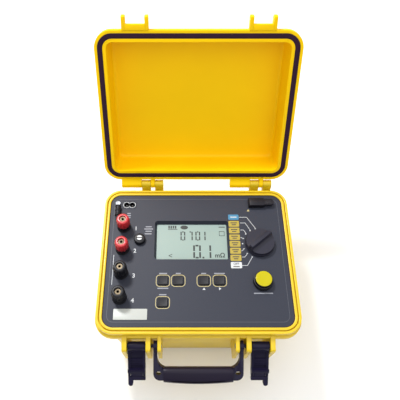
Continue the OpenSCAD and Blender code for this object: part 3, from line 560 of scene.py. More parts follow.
class Paint:
    """Hands out each finish's material, built once."""

    made: dict[str, bpy.types.Material] = {}

    @classmethod
    def of(cls, finish: str) -> bpy.types.Material:
        """The material of a named finish.

        Args:
            finish: a key of FINISHES.

        Returns:
            Its material.
        """
        if finish not in cls.made:
            cls.made[finish] = FINISHES[finish].build()
        return cls.made[finish]

    @classmethod
    def dress(cls, obj: bpy.types.Object, finish: str) -> None:
        """Gives an object one finish all over.

        Args:
            obj: the object.
            finish: a key of FINISHES.
        """
        obj.data.materials.clear()
        obj.data.materials.append(cls.of(finish))


# ---------------------------------------------------------------- modelling


def arc(centre: Flat, radius: float, start: float, end: float, steps: int) -> list[Flat]:
    """Points along an arc.

    Args:
        centre: the arc's centre.
        radius: its radius.
        start: its first angle, in degrees.
        end: its last angle, in degrees.
        steps: how many parts it has.

    Returns:
        The points, both ends among them.
    """
    turn = [math.radians(start + (end - start) * i / steps) for i in range(steps + 1)]
    return [(centre[0] + radius * math.cos(a), centre[1] + radius * math.sin(a)) for a in turn]


def round_rect(
    centre: Flat, width: float, depth: float, radius: float, steps: int = 6
) -> list[Flat]:
    """Outline of a rectangle with round corners.

    Args:
        centre: its centre.
        width: its size along the first axis.
        depth: its size along the second axis.
        radius: its corner radius.
        steps: how many parts a corner has.

    Returns:
        The outline's points, anticlockwise.
    """
    points: list[Flat] = []
    for sx, sy, start in ((1, 1, 0), (-1, 1, 90), (-1, -1, 180), (1, -1, 270)):
        corner = (centre[0] + sx * (width / 2 - radius), centre[1] + sy * (depth / 2 - radius))
        points += arc(corner, radius, start, start + 90, steps)
    return points


class Sculpt:
    """One mesh piece, shaped with Blender's own operators from a primitive."""

    def __init__(self, obj: bpy.types.Object, name: str) -> None:
        """Takes over a freshly added primitive.

        Args:
            obj: the primitive's object.
            name: the piece's name.
        """
        self.obj = obj
        obj.name = obj.data.name = name

    @staticmethod
    def only(obj: bpy.types.Object) -> None:
        """Selects one object and makes it active."""
        bpy.ops.object.select_all(action="DESELECT")
        obj.select_set(True)
        bpy.context.view_layer.objects.active = obj

    @classmethod
    def block(cls, name: str, low: Point, high: Point) -> "Sculpt":
        """A cuboid between two corners.

        Args:
            name: the piece's name.
            low: its lowest corner.
            high: its highest corner.

        Returns:
            The new piece.
        """
        bpy.ops.object.select_all(action="DESELECT")
        centre = [(a + b) / 2 * MM for a, b in zip(low, high)]
        bpy.ops.mesh.primitive_cube_add(size=1.0, location=centre)
        bpy.ops.transform.resize(value=[(b - a) * MM for a, b in zip(low, high)])
        bpy.ops.object.transform_apply(location=True, rotation=True, scale=True)
        return cls(bpy.context.object, name)

    @classmethod
    def rod(
        cls, name: str, centre: Point, radius: float, length: float, axis: Axis, sides: int = 48
    ) -> "Sculpt":
        """A cylinder about an axis.

        Args:
            name: the piece's name.
            centre: its middle.
            radius: its radius.
            length: its length.
            axis: the axis it lies along.
            sides: how many sides it has.

        Returns:
            The new piece.
        """
        turn = {Axis.X: (0, math.pi / 2, 0), Axis.Y: (math.pi / 2, 0, 0), Axis.Z: (0, 0, 0)}[axis]
        bpy.ops.object.select_all(action="DESELECT")
        bpy.ops.mesh.primitive_cylinder_add(
            vertices=sides, radius=radius * MM, depth=length * MM,
            location=[c * MM for c in centre], rotation=turn,
        )
        bpy.ops.object.transform_apply(location=True, rotation=True, scale=True)
        return cls(bpy.context.object, name)

    @classmethod
    def sheet(
        cls, name: str, points: Sequence[Flat], at: float, thick: float, axis: Axis
    ) -> "Sculpt":
        """An outline given thickness along an axis.

        Args:
            name: the piece's name.
            points: the outline, in the plane across the axis (YZ, XZ or XY).
            at: where it starts on the axis.
            thick: its thickness along the axis.
            axis: the axis it is thick along.

        Returns:
            The new piece.
        """
        bpy.ops.object.select_all(action="DESELECT")
        bpy.ops.mesh.primitive_circle_add(vertices=len(points), radius=MM, fill_type="NGON")
        obj = bpy.context.object
        for vert, (a, b) in zip(obj.data.vertices, points):
            place = {Axis.X: (at, a, b), Axis.Y: (a, at, b), Axis.Z: (a, b, at)}[axis]
            vert.co = Vector(place) * MM
        piece = cls(obj, name)
        step = {Axis.X: (thick, 0, 0), Axis.Y: (0, thick, 0), Axis.Z: (0, 0, thick)}[axis]
        with piece.editing():
            bpy.ops.mesh.select_all(action="SELECT")
            piece.extrude(step)
            bpy.ops.mesh.select_all(action="SELECT")
            bpy.ops.mesh.normals_make_consistent(inside=False)
        return piece

    @classmethod
    def turned(cls, name: str, centre: Point, profile: Sequence[Flat], sides: int = 64) -> "Sculpt":
        """A shape turned about an upright axis, built ring by ring.

        Args:
            name: the piece's name.
            centre: the axis' foot.
            profile: radius and height of each ring, from the bottom up.
            sides: how many sides a ring has.

        Returns:
            The new piece, closed at both ends.
        """
        bpy.ops.object.select_all(action="DESELECT")
        first = profile[0]
        foot = [centre[0] * MM, centre[1] * MM, (centre[2] + first[1]) * MM]
        bpy.ops.mesh.primitive_circle_add(
            vertices=sides, radius=first[0] * MM, fill_type="NOTHING", location=foot
        )
        bpy.ops.object.transform_apply(location=True, rotation=True, scale=True)
        piece = cls(bpy.context.object, name)
        with piece.editing("EDGE"):
            bpy.ops.mesh.select_all(action="SELECT")
            bpy.ops.mesh.edge_face_add()
            bpy.ops.mesh.select_mode(type="FACE")
            for (r0, z0), (r1, z1) in zip(profile, profile[1:]):
                piece.extrude((0, 0, z1 - z0))
                piece.resize((r1 / r0, r1 / r0, 1), (centre[0], centre[1], centre[2] + z1))
            bpy.ops.mesh.select_all(action="SELECT")
            bpy.ops.mesh.normals_make_consistent(inside=False)
        return piece

    @classmethod
    def words(
        cls, name: str, text: str, centre: Flat, size: float, height: float, z: float,
        bold: float = 0.0,
    ) -> "Sculpt":
        """Flat characters on an upright-facing plane.

        Args:
            name: the piece's name.
            text: the characters.
            centre: their middle.
            size: the font's size.
            height: how far they stand over the plane.
            z: the plane's height.
            bold: how much each stroke is widened.

        Returns:
            The new piece.
        """
        bpy.ops.object.select_all(action="DESELECT")
        bpy.ops.object.text_add(location=(centre[0] * MM, centre[1] * MM, z * MM))
        data = bpy.context.object.data
        data.body, data.size, data.extrude, data.offset = text, size * MM, height * MM, bold * MM
        data.align_x = data.align_y = "CENTER"
        data.resolution_u = 3
        bpy.ops.object.convert(target="MESH")
        bpy.ops.object.transform_apply(location=True, rotation=True, scale=True)
        return cls(bpy.context.object, name)

    @contextmanager
    def editing(self, mode: str = "FACE") -> Iterator[None]:
        """Holds the piece in edit mode with nothing selected.

        Args:
            mode: VERT, EDGE or FACE.
        """
        self.only(self.obj)
        bpy.ops.object.mode_set(mode="EDIT")
        bpy.ops.mesh.select_mode(type=mode)
        bpy.ops.mesh.select_all(action="DESELECT")
        yield
        bpy.ops.object.mode_set(mode="OBJECT")

    def faces(self, test: Callable[[Vector, Vector], bool]) -> int:
        """Selects faces by place and normal, in edit mode.

        Args:
            test: takes a face's middle, in millimetres, and its normal.

        Returns:
            How many faces were selected.
        """
        bpy.ops.mesh.select_mode(type="FACE")
        bpy.ops.mesh.select_all(action="DESELECT")
        mesh = bmesh.from_edit_mesh(self.obj.data)
        mesh.normal_update()
        for face in mesh.faces:
            if test(face.calc_center_median() / MM, face.normal):
                face.select_set(True)
        mesh.select_flush_mode()
        bmesh.update_edit_mesh(self.obj.data)
        return sum(face.select for face in mesh.faces)

    def edges(self, test: Callable[[Vector, Vector], bool]) -> int:
        """Selects edges by place and direction, in edit mode.

        Args:
            test: takes an edge's middle, in millimetres, and its unit direction.

        Returns:
            How many edges were selected.
        """
        bpy.ops.mesh.select_mode(type="EDGE")
        bpy.ops.mesh.select_all(action="DESELECT")
        mesh = bmesh.from_edit_mesh(self.obj.data)
        for edge in mesh.edges:
            a, b = edge.verts[0].co, edge.verts[1].co
            if test((a + b) / 2 / MM, (b - a).normalized()):
                edge.select_set(True)
        mesh.select_flush_mode()
        bmesh.update_edit_mesh(self.obj.data)
        return sum(edge.select for edge in mesh.edges)

    def extrude(self, step: Point) -> None:
        """Extrudes what is selected by a step."""
        bpy.ops.mesh.extrude_region_move(TRANSFORM_OT_translate={"value": [s * MM for s in step]})

    def inset(self, width: float, depth: float = 0.0) -> None:
        """Insets the selected faces."""
        bpy.ops.mesh.inset(thickness=width * MM, depth=depth * MM, use_even_offset=True)

    def bevel(self, width: float, steps: int) -> None:
        """Rounds the selected edges."""
        bpy.ops.mesh.bevel(offset=width * MM, segments=steps, affect="EDGES", clamp_overlap=True)

    def resize(self, share: Point, centre: Point) -> None:
        """Scales what is selected about a point."""
        bpy.ops.transform.resize(value=share, center_override=[c * MM for c in centre])

    def round_upright(self, radius: float, steps: int = 8) -> "Sculpt":
        """Rounds every upright edge.

        Args:
            radius: the corner radius.
            steps: how many parts a corner has.

        Returns:
            The piece itself.
        """
        with self.editing("EDGE"):
            self.edges(lambda mid, way: abs(way.z) > 0.98)
            self.bevel(radius, steps)
        return self

    def cut(self, *tools: "Sculpt") -> "Sculpt":
        """Takes other shapes out of this one.

        Args:
            tools: the shapes, which are used up.

        Returns:
            The piece itself.
        """
        return self._combine("DIFFERENCE", tools)

    def fuse(self, *others: "Sculpt") -> "Sculpt":
        """Makes this shape and others one solid.

        Args:
            others: the shapes, which are used up.

        Returns:
            The piece itself.
        """
        return self._combine("UNION", others)

    def _combine(self, operation: str, others: Sequence["Sculpt"]) -> "Sculpt":
        """Runs one boolean for each other shape.

        Args:
            operation: DIFFERENCE or UNION.
            others: the shapes, which are used up.

        Returns:
            The piece itself.
        """
        for other in others:
            self.only(self.obj)
            modifier = self.obj.modifiers.new("combine", "BOOLEAN")
            modifier.operation, modifier.solver, modifier.object = operation, "EXACT", other.obj
            bpy.ops.object.modifier_apply(modifier=modifier.name)
            bpy.data.objects.remove(other.obj)
        return self

    def join(self, *others: "Sculpt") -> "Sculpt":
        """Puts other pieces into this object, each a shell of its own.

        Args:
            others: the pieces, which are used up.

        Returns:
            The piece itself.
        """
        name = self.obj.name
        bpy.ops.object.select_all(action="DESELECT")
        for other in others:
            other.obj.select_set(True)
        self.obj.select_set(True)
        bpy.context.view_layer.objects.active = self.obj
        bpy.ops.object.join()
        self.obj.name = self.obj.data.name = name
        return self

    def soften(self, width: float, steps: int = 3, angle: float = 32.0) -> "Sculpt":
        """Rounds every sharp edge and shades the rest smooth.

        Args:
            width: the rounding's width.
            steps: how many parts it has.
            angle: the sharpest angle, in degrees, that is left alone.

        Returns:
            The piece itself.
        """
        self.only(self.obj)
        if width > 0:
            modifier = self.obj.modifiers.new("soften", "BEVEL")
            modifier.width, modifier.segments, modifier.limit_method = width * MM, steps, "ANGLE"
            modifier.angle_limit = math.radians(angle)
            bpy.ops.object.modifier_apply(modifier=modifier.name)
        bpy.ops.object.shade_smooth_by_angle(angle=math.radians(40))
        return self

    def moved(self, matrix: Matrix) -> "Sculpt":
        """Turns and moves the mesh, and leaves the object at the origin.

        Args:
            matrix: where the mesh goes, in metres.

        Returns:
            The piece itself.
        """
        self.obj.matrix_world = matrix
        self.only(self.obj)
        bpy.ops.object.transform_apply(location=True, rotation=True, scale=True)
        return self

    def done(self, body: str, finish: str, slot: str, *nodes: str) -> bpy.types.Object:
        """Dresses the piece and hands it to its body.

        Args:
            body: the CAD body it rides on.
            finish: a key of FINISHES.
            slot: the record's material slot; not used.
            nodes: the CAD nodes it stands for.

        Returns:
            The finished object.
        """
        Paint.dress(self.obj, finish)
        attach(self.obj, body)
        if nodes:
            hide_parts(*nodes)
        log.info("%s: %d faces, on %s", self.obj.name, len(self.obj.data.polygons), body)
        return self.obj


def hinge_turn(point: Point, degrees: float) -> Matrix:
    """A turn about the X axis through a point.

    Args:
        point: a point on the axis, in millimetres.
        degrees: the turn.

    Returns:
        The matrix, in metres.
    """
    place = Matrix.Translation(Vector(point) * MM)
    return place @ Matrix.Rotation(math.radians(degrees), 4, "X") @ place.inverted()


# ---------------------------------------------------------------- the case


@dataclass
class Half:
    """What the case's two halves share: their outline and hinge axle."""

    width: float = 273.0
    depth: float = 221.0
    corner: float = 24.0
    axle: Flat = (120.0, 139.0)

    def plate(self, name: str, inset: float, low: float, high: float) -> Sculpt:
        """A plate along the case's outline.

        Args:
            name: the piece's name.
            inset: how far it stands in from the rim, or out where negative.
            low: its lower height.
            high: its upper height.

        Returns:
            The plate.
        """
        x, y = self.width / 2 - inset, self.depth / 2 - inset
        return Sculpt.block(name, (-x, -y, low), (x, y, high)).round_upright(
            self.corner - inset, 12
        )

    def knuckles(self, name: str, side: Sequence[Flat], spans: Sequence[Flat]) -> Sculpt:
        """Bored hinge knuckles of one outline.

        Args:
            name: the piece's name.
            side: their outline, seen along X.
            spans: where each starts along X, and how wide it is.

        Returns:
            The knuckles in one piece.
        """
        y, z = self.axle
        group = [Sculpt.sheet(name, side, x, wide, Axis.X) for x, wide in spans]
        bore = Sculpt.rod("bore", (0, y, z), BORE_RADIUS, 300, Axis.X, 32)
        return group[0].join(*group[1:]).cut(bore).soften(0.5, 2)


@dataclass
class CaseTub(Half):
    """Lower half: drafted tub, double rim flange, front ears and ribs, hinge knuckles, feet."""

    rim: float = 135.0
    flange: float = 8.0
    groove: float = 3.0
    lower_flange: float = 7.0
    flange_out: float = 2.0
    wall: float = 4.0
    land: float = 8.5
    tub_half: Flat = (131.0, 105.0)
    under_half: Flat = (119.5, 93.5)
    under: float = 3.0
    pivot: Flat = (-120.0, 113.0)

    def build(self) -> None:
        """Builds the lower half's pieces."""
        self.tub()
        self.rim_bands()
        self.front_ears()
        self.hinge_leaves()
        self.feet()

    def tub(self) -> None:
        """The drafted body, hollow, with a rounded underside."""
        top = self.rim - self.flange - self.groove - self.lower_flange + 2
        (x, y), (under_x, under_y), under = self.tub_half, self.under_half, self.under
        piece = Sculpt.block("case_tub", (-x, -y, under), (x, y, top)).round_upright(25, 12)
        with piece.editing():
            piece.faces(lambda mid, way: way.z < -0.9)
            piece.resize((under_x / x, under_y / y, 1), (0, 0, under))
            piece.edges(lambda mid, way: mid.z < under + 0.01 and abs(way.z) < 0.1)
            piece.bevel(5, 4)
            piece.faces(lambda mid, way: way.z > 0.9)
            piece.inset(self.wall)
            piece.extrude((0, 0, -112))
            piece.resize((0.92, 0.9, 1), (0, 0, 7))
        holes = [
            Sculpt.rod("hole", (x, y, 10), 4.1, 16, Axis.Z, 24)
            for x in (-64, 64)
            for y in (-80, 80)
        ]
        piece.cut(*holes).soften(0.0)
        piece.done("case", "case", "case_yellow", "lower_shell")

    def rim_bands(self) -> None:
        """Upper flange, neck and lower flange, each a closed band."""
        base = self.rim - self.flange
        low = base - self.groove - self.lower_flange
        upper = self.plate("case_rim", 0, base, self.rim)
        groove = self.plate("groove", 3.4, self.rim - 4.5, self.rim + 1).cut(
            self.plate("core", 5.0, self.rim - 6, self.rim + 2))
        upper.cut(self.plate("seat", self.land, self.rim - 4.5, self.rim + 1))
        upper.cut(groove)
        upper.cut(self.plate("well", self.land + 6, base - 1, self.rim)).soften(0.6, 2)
        upper.done("case", "case", "case_yellow", "rim_frame")
        neck = self.plate("case_rim_neck", 5.5, base - self.groove - 0.5, base + 0.5)
        neck.cut(self.plate("well", self.land + 6, low, self.rim)).soften(0.0)
        neck.done("case", "case", "case_yellow")
        lower = self.plate("case_lower_flange", -self.flange_out, low, low + self.lower_flange)
        lower.cut(self.plate("well", self.land + 6, low - 2, self.rim)).soften(0.8, 2)
        lower.done("case", "case", "case_yellow")

    def front_ears(self) -> None:
        """Tall ribs that carry the latches and the handle."""
        side = [(-97.5, 125.5), (-112.5, 125.5), (-124.2, 120.4)] + arc((-125, 116), 4, 100, 190, 6)
        side += [(-129, 113.5), (-123, 59), (-97.5, 51)]
        ears = [Sculpt.sheet("latch_ears", side, x, 6.5, Axis.X) for x in (-101, -69.5, 63, 94.5)]
        ribs = [Sculpt.sheet("handle_ribs", side, x, 5, Axis.X) for x in (-54, 49)]
        for group, nodes in ((ears, ["front_ears"]), (ribs, [])):
            piece = group[0].join(*group[1:])
            piece.soften(0.7, 2).done("case", "case", "case_yellow", *nodes)
        y, z = self.pivot
        for x0, x1 in ((-101, -49), (49, 101)):
            for x in (x0, x1):
                out = 0.4 if x == x1 else -0.4
                dome = Sculpt.rod(
                    "pivot_pin_head", (x + out / 2, y, z), 3.4, 0.8, Axis.X, 32
                ).soften(0.3, 2)
                dome.obj.name = f"pivot_pin_head_{'l' if x < 0 else 'r'}{'a' if x == x0 else 'b'}"
                dome.done("case", "steel", "steel")

    def hinge_leaves(self) -> None:
        """The case's knuckles with their leaves down to the lower flange."""
        side = arc(self.axle, 6, 0, 180, 14) + [
            (112.5, 124), (106.5, 124), (106.5, 117), (112.5, 117), (124.5, 127)
        ]
        spans = ((-82.2, 13.3), (-62.3, 12.6), (82.3, 13.3), (102.2, 12.6))
        piece = self.knuckles("case_hinge_knuckles", side, spans)
        piece.done("case", "case", "case_yellow", "hinge_leaves")

    def feet(self) -> None:
        """Four turned rubber feet."""
        for i, (x, y) in enumerate((sx * 96.5, sy * 71.5) for sx in (-1, 1) for sy in (-1, 1)):
            profile = [(7.6, 0), (8.5, 0.3), (9, 1.0), (9, 3.0)]
            foot = Sculpt.turned(f"rubber_foot_{i + 1}", (x, y, 0), profile, 40)
            foot.soften(0.0).done(
                "case", "foot", "black_rubber", *(["rubber_feet"] if i == 0 else [])
            )


@dataclass
class Lid(Half):
    """Lid, drawn closed and turned open about its hinge axis."""

    low: float = 135.6
    flange_top: float = 144.0
    top: float = 180.0
    band: float = 15.2
    dome_in: float = 9.0
    taper: Flat = (8.0, 9.8)
    open_angle: float = 115.5

    def opened(self) -> Matrix:
        """The turn that opens the lid."""
        return hinge_turn((0, *self.axle), -self.open_angle)

    def build(self) -> None:
        """Builds the lid's pieces."""
        self.shell()
        self.gasket()
        self.catches()
        self.hinge_leaves()

    def shell(self) -> None:
        """Flange and dome in one, with the hollow and the gasket's groove."""
        share = [
            1 - t / (size - 2 * self.dome_in)
            for t, size in zip(self.taper, (self.width, self.depth))
        ]
        dome = self.plate("lid_dome", self.dome_in, self.low + 3, self.top)
        with dome.editing():
            dome.faces(lambda mid, way: way.z > 0.9)
            dome.resize((*share, 1), (0, 0, self.top))
            dome.edges(lambda mid, way: mid.z > self.top - 0.01)
            dome.bevel(5.5, 5)
        flange = self.plate("flange", 0, self.low, self.flange_top)
        dome.fuse(flange)
        hollow = self.plate("hollow", self.band, self.low - 3, self.top - 4)
        with hollow.editing():
            hollow.faces(lambda mid, way: way.z > 0.9)
            hollow.resize((1 - 5 / 242.6, 1 - 5 / 190.6, 1), (0, 0, self.top))
            hollow.edges(lambda mid, way: mid.z > self.top - 4.01)
            hollow.bevel(5, 5)
        groove = self.plate("groove", 4, self.low - 1, self.low + 4).cut(
            self.plate("core", 10.9, self.low - 3, self.low + 6))
        dome.cut(hollow, groove).soften(1.0, 3, 40)
        dome.moved(self.opened()).done("lid", "lid", "case_yellow", "lid_shell")

    def gasket(self) -> None:
        """The black rubber ring in the lid's groove."""
        ring = self.plate("lid_gasket_ring", 4.02, self.low - 0.3, self.low + 3.9)
        ring.cut(self.plate("core", 10.88, self.low - 3, self.low + 6)).soften(0.8, 3)
        ring.moved(self.opened()).done("lid", "rubber", "black_rubber", "lid_gasket")

    def catches(self) -> None:
        """Forked catches that the latches hook over."""
        prong = [(-108.5, 135.6), (-126.8, 135.6)] + arc((-126, 137.6), 2, 240, 180, 3)
        prong += [(-128, 144.2), (-123.6, 147.6), (-101, 147.6), (-101, 143.5), (-108.5, 143.5)]
        bridge = [(-108.5, 135.6), (-117.7, 135.6), (-117.7, 141), (-116.7, 142), (-108.5, 142)]
        group: list[Sculpt] = []
        for side in (-LATCH_X, LATCH_X):
            group += [
                Sculpt.sheet("lid_catches", prong, side + x, 5, Axis.X) for x in (-17.5, 12.5)
            ]
            group.append(Sculpt.sheet("bridge", bridge, side - 13.5, 27, Axis.X))
        piece = group[0].join(*group[1:]).soften(0.7, 2)
        piece.moved(self.opened()).done("lid", "lid", "case_yellow")

    def hinge_leaves(self) -> None:
        """The lid's knuckles with their leaves in to its flange."""
        side = [(106.5, 144), (118, 145)] + arc(self.axle, 6, 90, -130, 18) + [
            (111.5, 135.6), (106.5, 135.6)
        ]
        piece = self.knuckles(
            "lid_hinge_leaves", side, ((-112.5, 30), (-68.6, 6), (52, 30), (95.9, 6))
        )
        piece.moved(self.opened()).done("lid", "lid", "case_yellow")


@dataclass
class Handle:
    """Fold-out handle: a flat frame with lozenge eyes and a rounded grip sleeve."""

    pivot: Point = (0.0, -120.0, 113.0)
    rest: float = 34.0
    half: float = 59.5
    arm: float = 5.0
    reach: float = 45.0
    bar: float = 15.5
    thick: float = 9.0
    grip_half: float = 46.0
    grip_arch: float = 2.7

    def level(self, name: str, points: Sequence[Flat]) -> Sculpt:
        """A plate of the frame's thickness, lying level at the pivot.

        Args:
            name: the piece's name.
            points: X and distance along Y from the pivot.

        Returns:
            The plate.
        """
        _, y, z = self.pivot
        return Sculpt.sheet(
            name, [(a, y + b) for a, b in points], z - self.thick / 2, self.thick, Axis.Z
        )

    def at_rest(self) -> Matrix:
        """The turn from level to the handle's rest."""
        return hinge_turn(self.pivot, self.rest)

    def build(self) -> None:
        """Builds the frame and the grip."""
        self.frame()
        self.grip()

    def frame(self) -> None:
        """The U-shaped frame."""
        h, inner, low = self.half, self.half - self.arm, -self.reach + self.bar
        outer = [(-h, 0)] + arc((-h + 9, -self.reach + 9), 9, 180, 270, 8)
        outer += arc((h - 9, -self.reach + 9), 9, 270, 360, 8) + [(h, 0), (inner, 0)]
        outer += arc((inner - 15, low + 15), 15, 0, -90, 10) + arc(
            (-inner + 15, low + 15), 15, -90, -180, 10
        )
        piece = self.level("handle_frame_u", outer + [(-inner, 0)])
        _, y, z = self.pivot
        eyes = [
            Sculpt.rod("eye", (s * (h - self.arm / 2), y, z), 7, self.arm, Axis.X, 40)
            for s in (-1, 1)
        ]
        slots = []
        for s in (-1, 1):
            lens = [
                (s * 52.5 + a, y - 35.2 + b)
                for a, b in (
                    (-4.2, 0), (-1.9, -2.2), (1.9, -2.2), (4.2, 0), (1.9, 2.2), (-1.9, 2.2)
                )
            ]
            slots.append(Sculpt.sheet("slot", lens, z - 9, 18, Axis.Z))
        piece.fuse(*eyes).cut(
            *slots, Sculpt.rod("bore", (0, y, z), BORE_RADIUS, 200, Axis.X, 32)
        ).soften(1.3, 3)
        piece.moved(self.at_rest()).done("handle", "latch", "latch_plastic", "handle_frame")

    def grip(self) -> None:
        """The sleeve, arched outwards, with one lens-shaped groove cut along it."""
        _, y, z = self.pivot
        out, inn = y - 50.5, y - 28.0
        half = self.grip_half
        piece = Sculpt.block("handle_grip_sleeve", (-half, out, z - 7.5), (half, inn, z + 7.5))
        with piece.editing("EDGE"):
            piece.edges(lambda mid, way: abs(way.x) > 0.9)
            bpy.ops.mesh.subdivide(number_cuts=15)
            piece.edges(lambda mid, way: abs(way.x) > 0.9)
            piece.bevel(6.6, 7)
        for vert in piece.obj.data.vertices:
            share = vert.co.x / MM / half
            outer = max(0.0, min(1.0, (inn - vert.co.y / MM) / 23))
            vert.co.y += self.grip_arch * MM * share * share * outer
        arch = [(-42 + 6 * i, y - 46.2 + 2.4 * ((-42 + 6 * i) / half) ** 2) for i in range(15)]
        band = [(a, b - 1.3 * (1 - (a / 43) ** 2)) for a, b in arch] + [
            (a, b + 1.7 * (1 - (a / 43) ** 2)) for a, b in arch[::-1]
        ]
        slot = Sculpt.sheet("slot", band, z + 3.0, 9, Axis.Z)
        piece.cut(slot).soften(1.2, 3, 50)
        piece.moved(self.at_rest()).done("handle", "grip", "latch_plastic", "handle_grip")


@dataclass
class Latch:
    """One draw latch and its trigger, modelled level and hung at rest."""

    side: int
    pivot: Point = (0.0, -120.0, 113.0)
    rest: float = 40.0
    width: float = 23.0

    @property
    def hand(self) -> str:
        """The side's name."""
        return "left" if self.side < 0 else "right"

    def slab(self, name: str, points: Sequence[Flat], half: float, shift: float = 0.0) -> Sculpt:
        """A side outline given width across the latch.

        Args:
            name: the piece's name.
            points: distance out from the pivot and height over it.
            half: half the width.
            shift: how far its middle lies outwards from the latch's middle.

        Returns:
            The slab.
        """
        x = self.side * (LATCH_X + shift)
        _, y, z = self.pivot
        return Sculpt.sheet(name, [(y - u, z + v) for u, v in points], x - half, 2 * half, Axis.X)

    def at_rest(self) -> Matrix:
        """The turn from level to the latch's rest."""
        return hinge_turn(self.pivot, self.rest)

    def build(self) -> None:
        """Builds the latch and its trigger."""
        self.body()
        self.trigger()

    def body(self) -> None:
        """The lever: eye, ribs, two recesses, raised bar and hook."""
        _, y, z = self.pivot
        half = self.width / 2
        side = [(38, 1.4), (36, 1.5), (36, 5.5), (31, 6.5), (31, 1.5)] + arc(
            (0, 0), 6, 14.5, 270, 16
        )
        side += [(8, -7), (37, -7), (38, -6.4)]
        piece = self.slab(f"latch_lever_{self.hand}", side, half)
        cheeks = [(36, 0.5), (43, 0.5), (43, -6), (36, -6)]
        for s in (-1, 1):
            piece.fuse(self.slab("cheek", cheeks, 1.5, s * self.side * (half - 1.5)))
        for u0, u1, wide, deep in ((7.6, 17.2, 8.2, 3.0), (25.8, 30.8, 8.2, 2.4)):
            piece.cut(
                self.slab("recess", [(u0, 4), (u1, 4), (u1, 1.5 - deep), (u0, 1.5 - deep)], wide)
            )
        for u in (19.2, 21.6, 24.0):
            piece.cut(
                self.slab("rib", [(u - 0.4, 3), (u + 0.4, 3), (u + 0.4, 0.7), (u - 0.4, 0.7)], 8.2)
            )
        x = self.side * LATCH_X
        bores = [
            Sculpt.rod("bore", (x, y, z), BORE_RADIUS, 40, Axis.X, 32),
            Sculpt.rod("bore", (x, y - 41, z - 3), PIN_BORE_RADIUS, 40, Axis.X, 20),
            Sculpt.rod("bore", (x, y - 41, z - 3), 3.4, self.width - 6, Axis.X, 32),
        ]
        piece.cut(*bores).soften(0.6, 2)
        piece.moved(self.at_rest()).done(
            f"latch_{self.hand}_body", "latch", "latch_plastic", f"latch_{self.hand}"
        )

    def trigger(self) -> None:
        """The release tab with its finger on the outer side."""
        _, y, z = self.pivot
        half = self.width / 2
        blade = [(43.6, 0), (48.5, 0), (48.5, -6), (45.6, -6), (43.6, -3)]
        piece = self.slab(f"trigger_tab_{self.hand}", blade, half)
        web = [(41, -1), (44.5, -0.6), (44.5, -5), (41, -5)]
        barrel = Sculpt.rod(
            "barrel", (self.side * LATCH_X, y - 41, z - 3), 3.0, self.width - 7, Axis.X, 32
        )
        piece.fuse(self.slab("web", web, half - 3.5), barrel)
        x = self.side * (LATCH_X + half - 3.25)
        outline = [(x - 3.2, y - 47.5)] + arc((x, y - 53.6), 3.2, 180, 360, 12) + [
            (x + 3.2, y - 47.5)
        ]
        piece.fuse(Sculpt.sheet("finger", outline, z - 6, 6, Axis.Z))
        piece.cut(
            Sculpt.rod(
                "bore", (self.side * LATCH_X, y - 41, z - 3), PIN_BORE_RADIUS, 40, Axis.X, 20
            )
        ).soften(0.6, 2)
        piece.moved(self.at_rest()).done(
            f"trigger_{self.hand}", "trigger", "dark_plastic", f"latch_trigger_{self.hand}"
        )


# ---------------------------------------------------------------- the panel


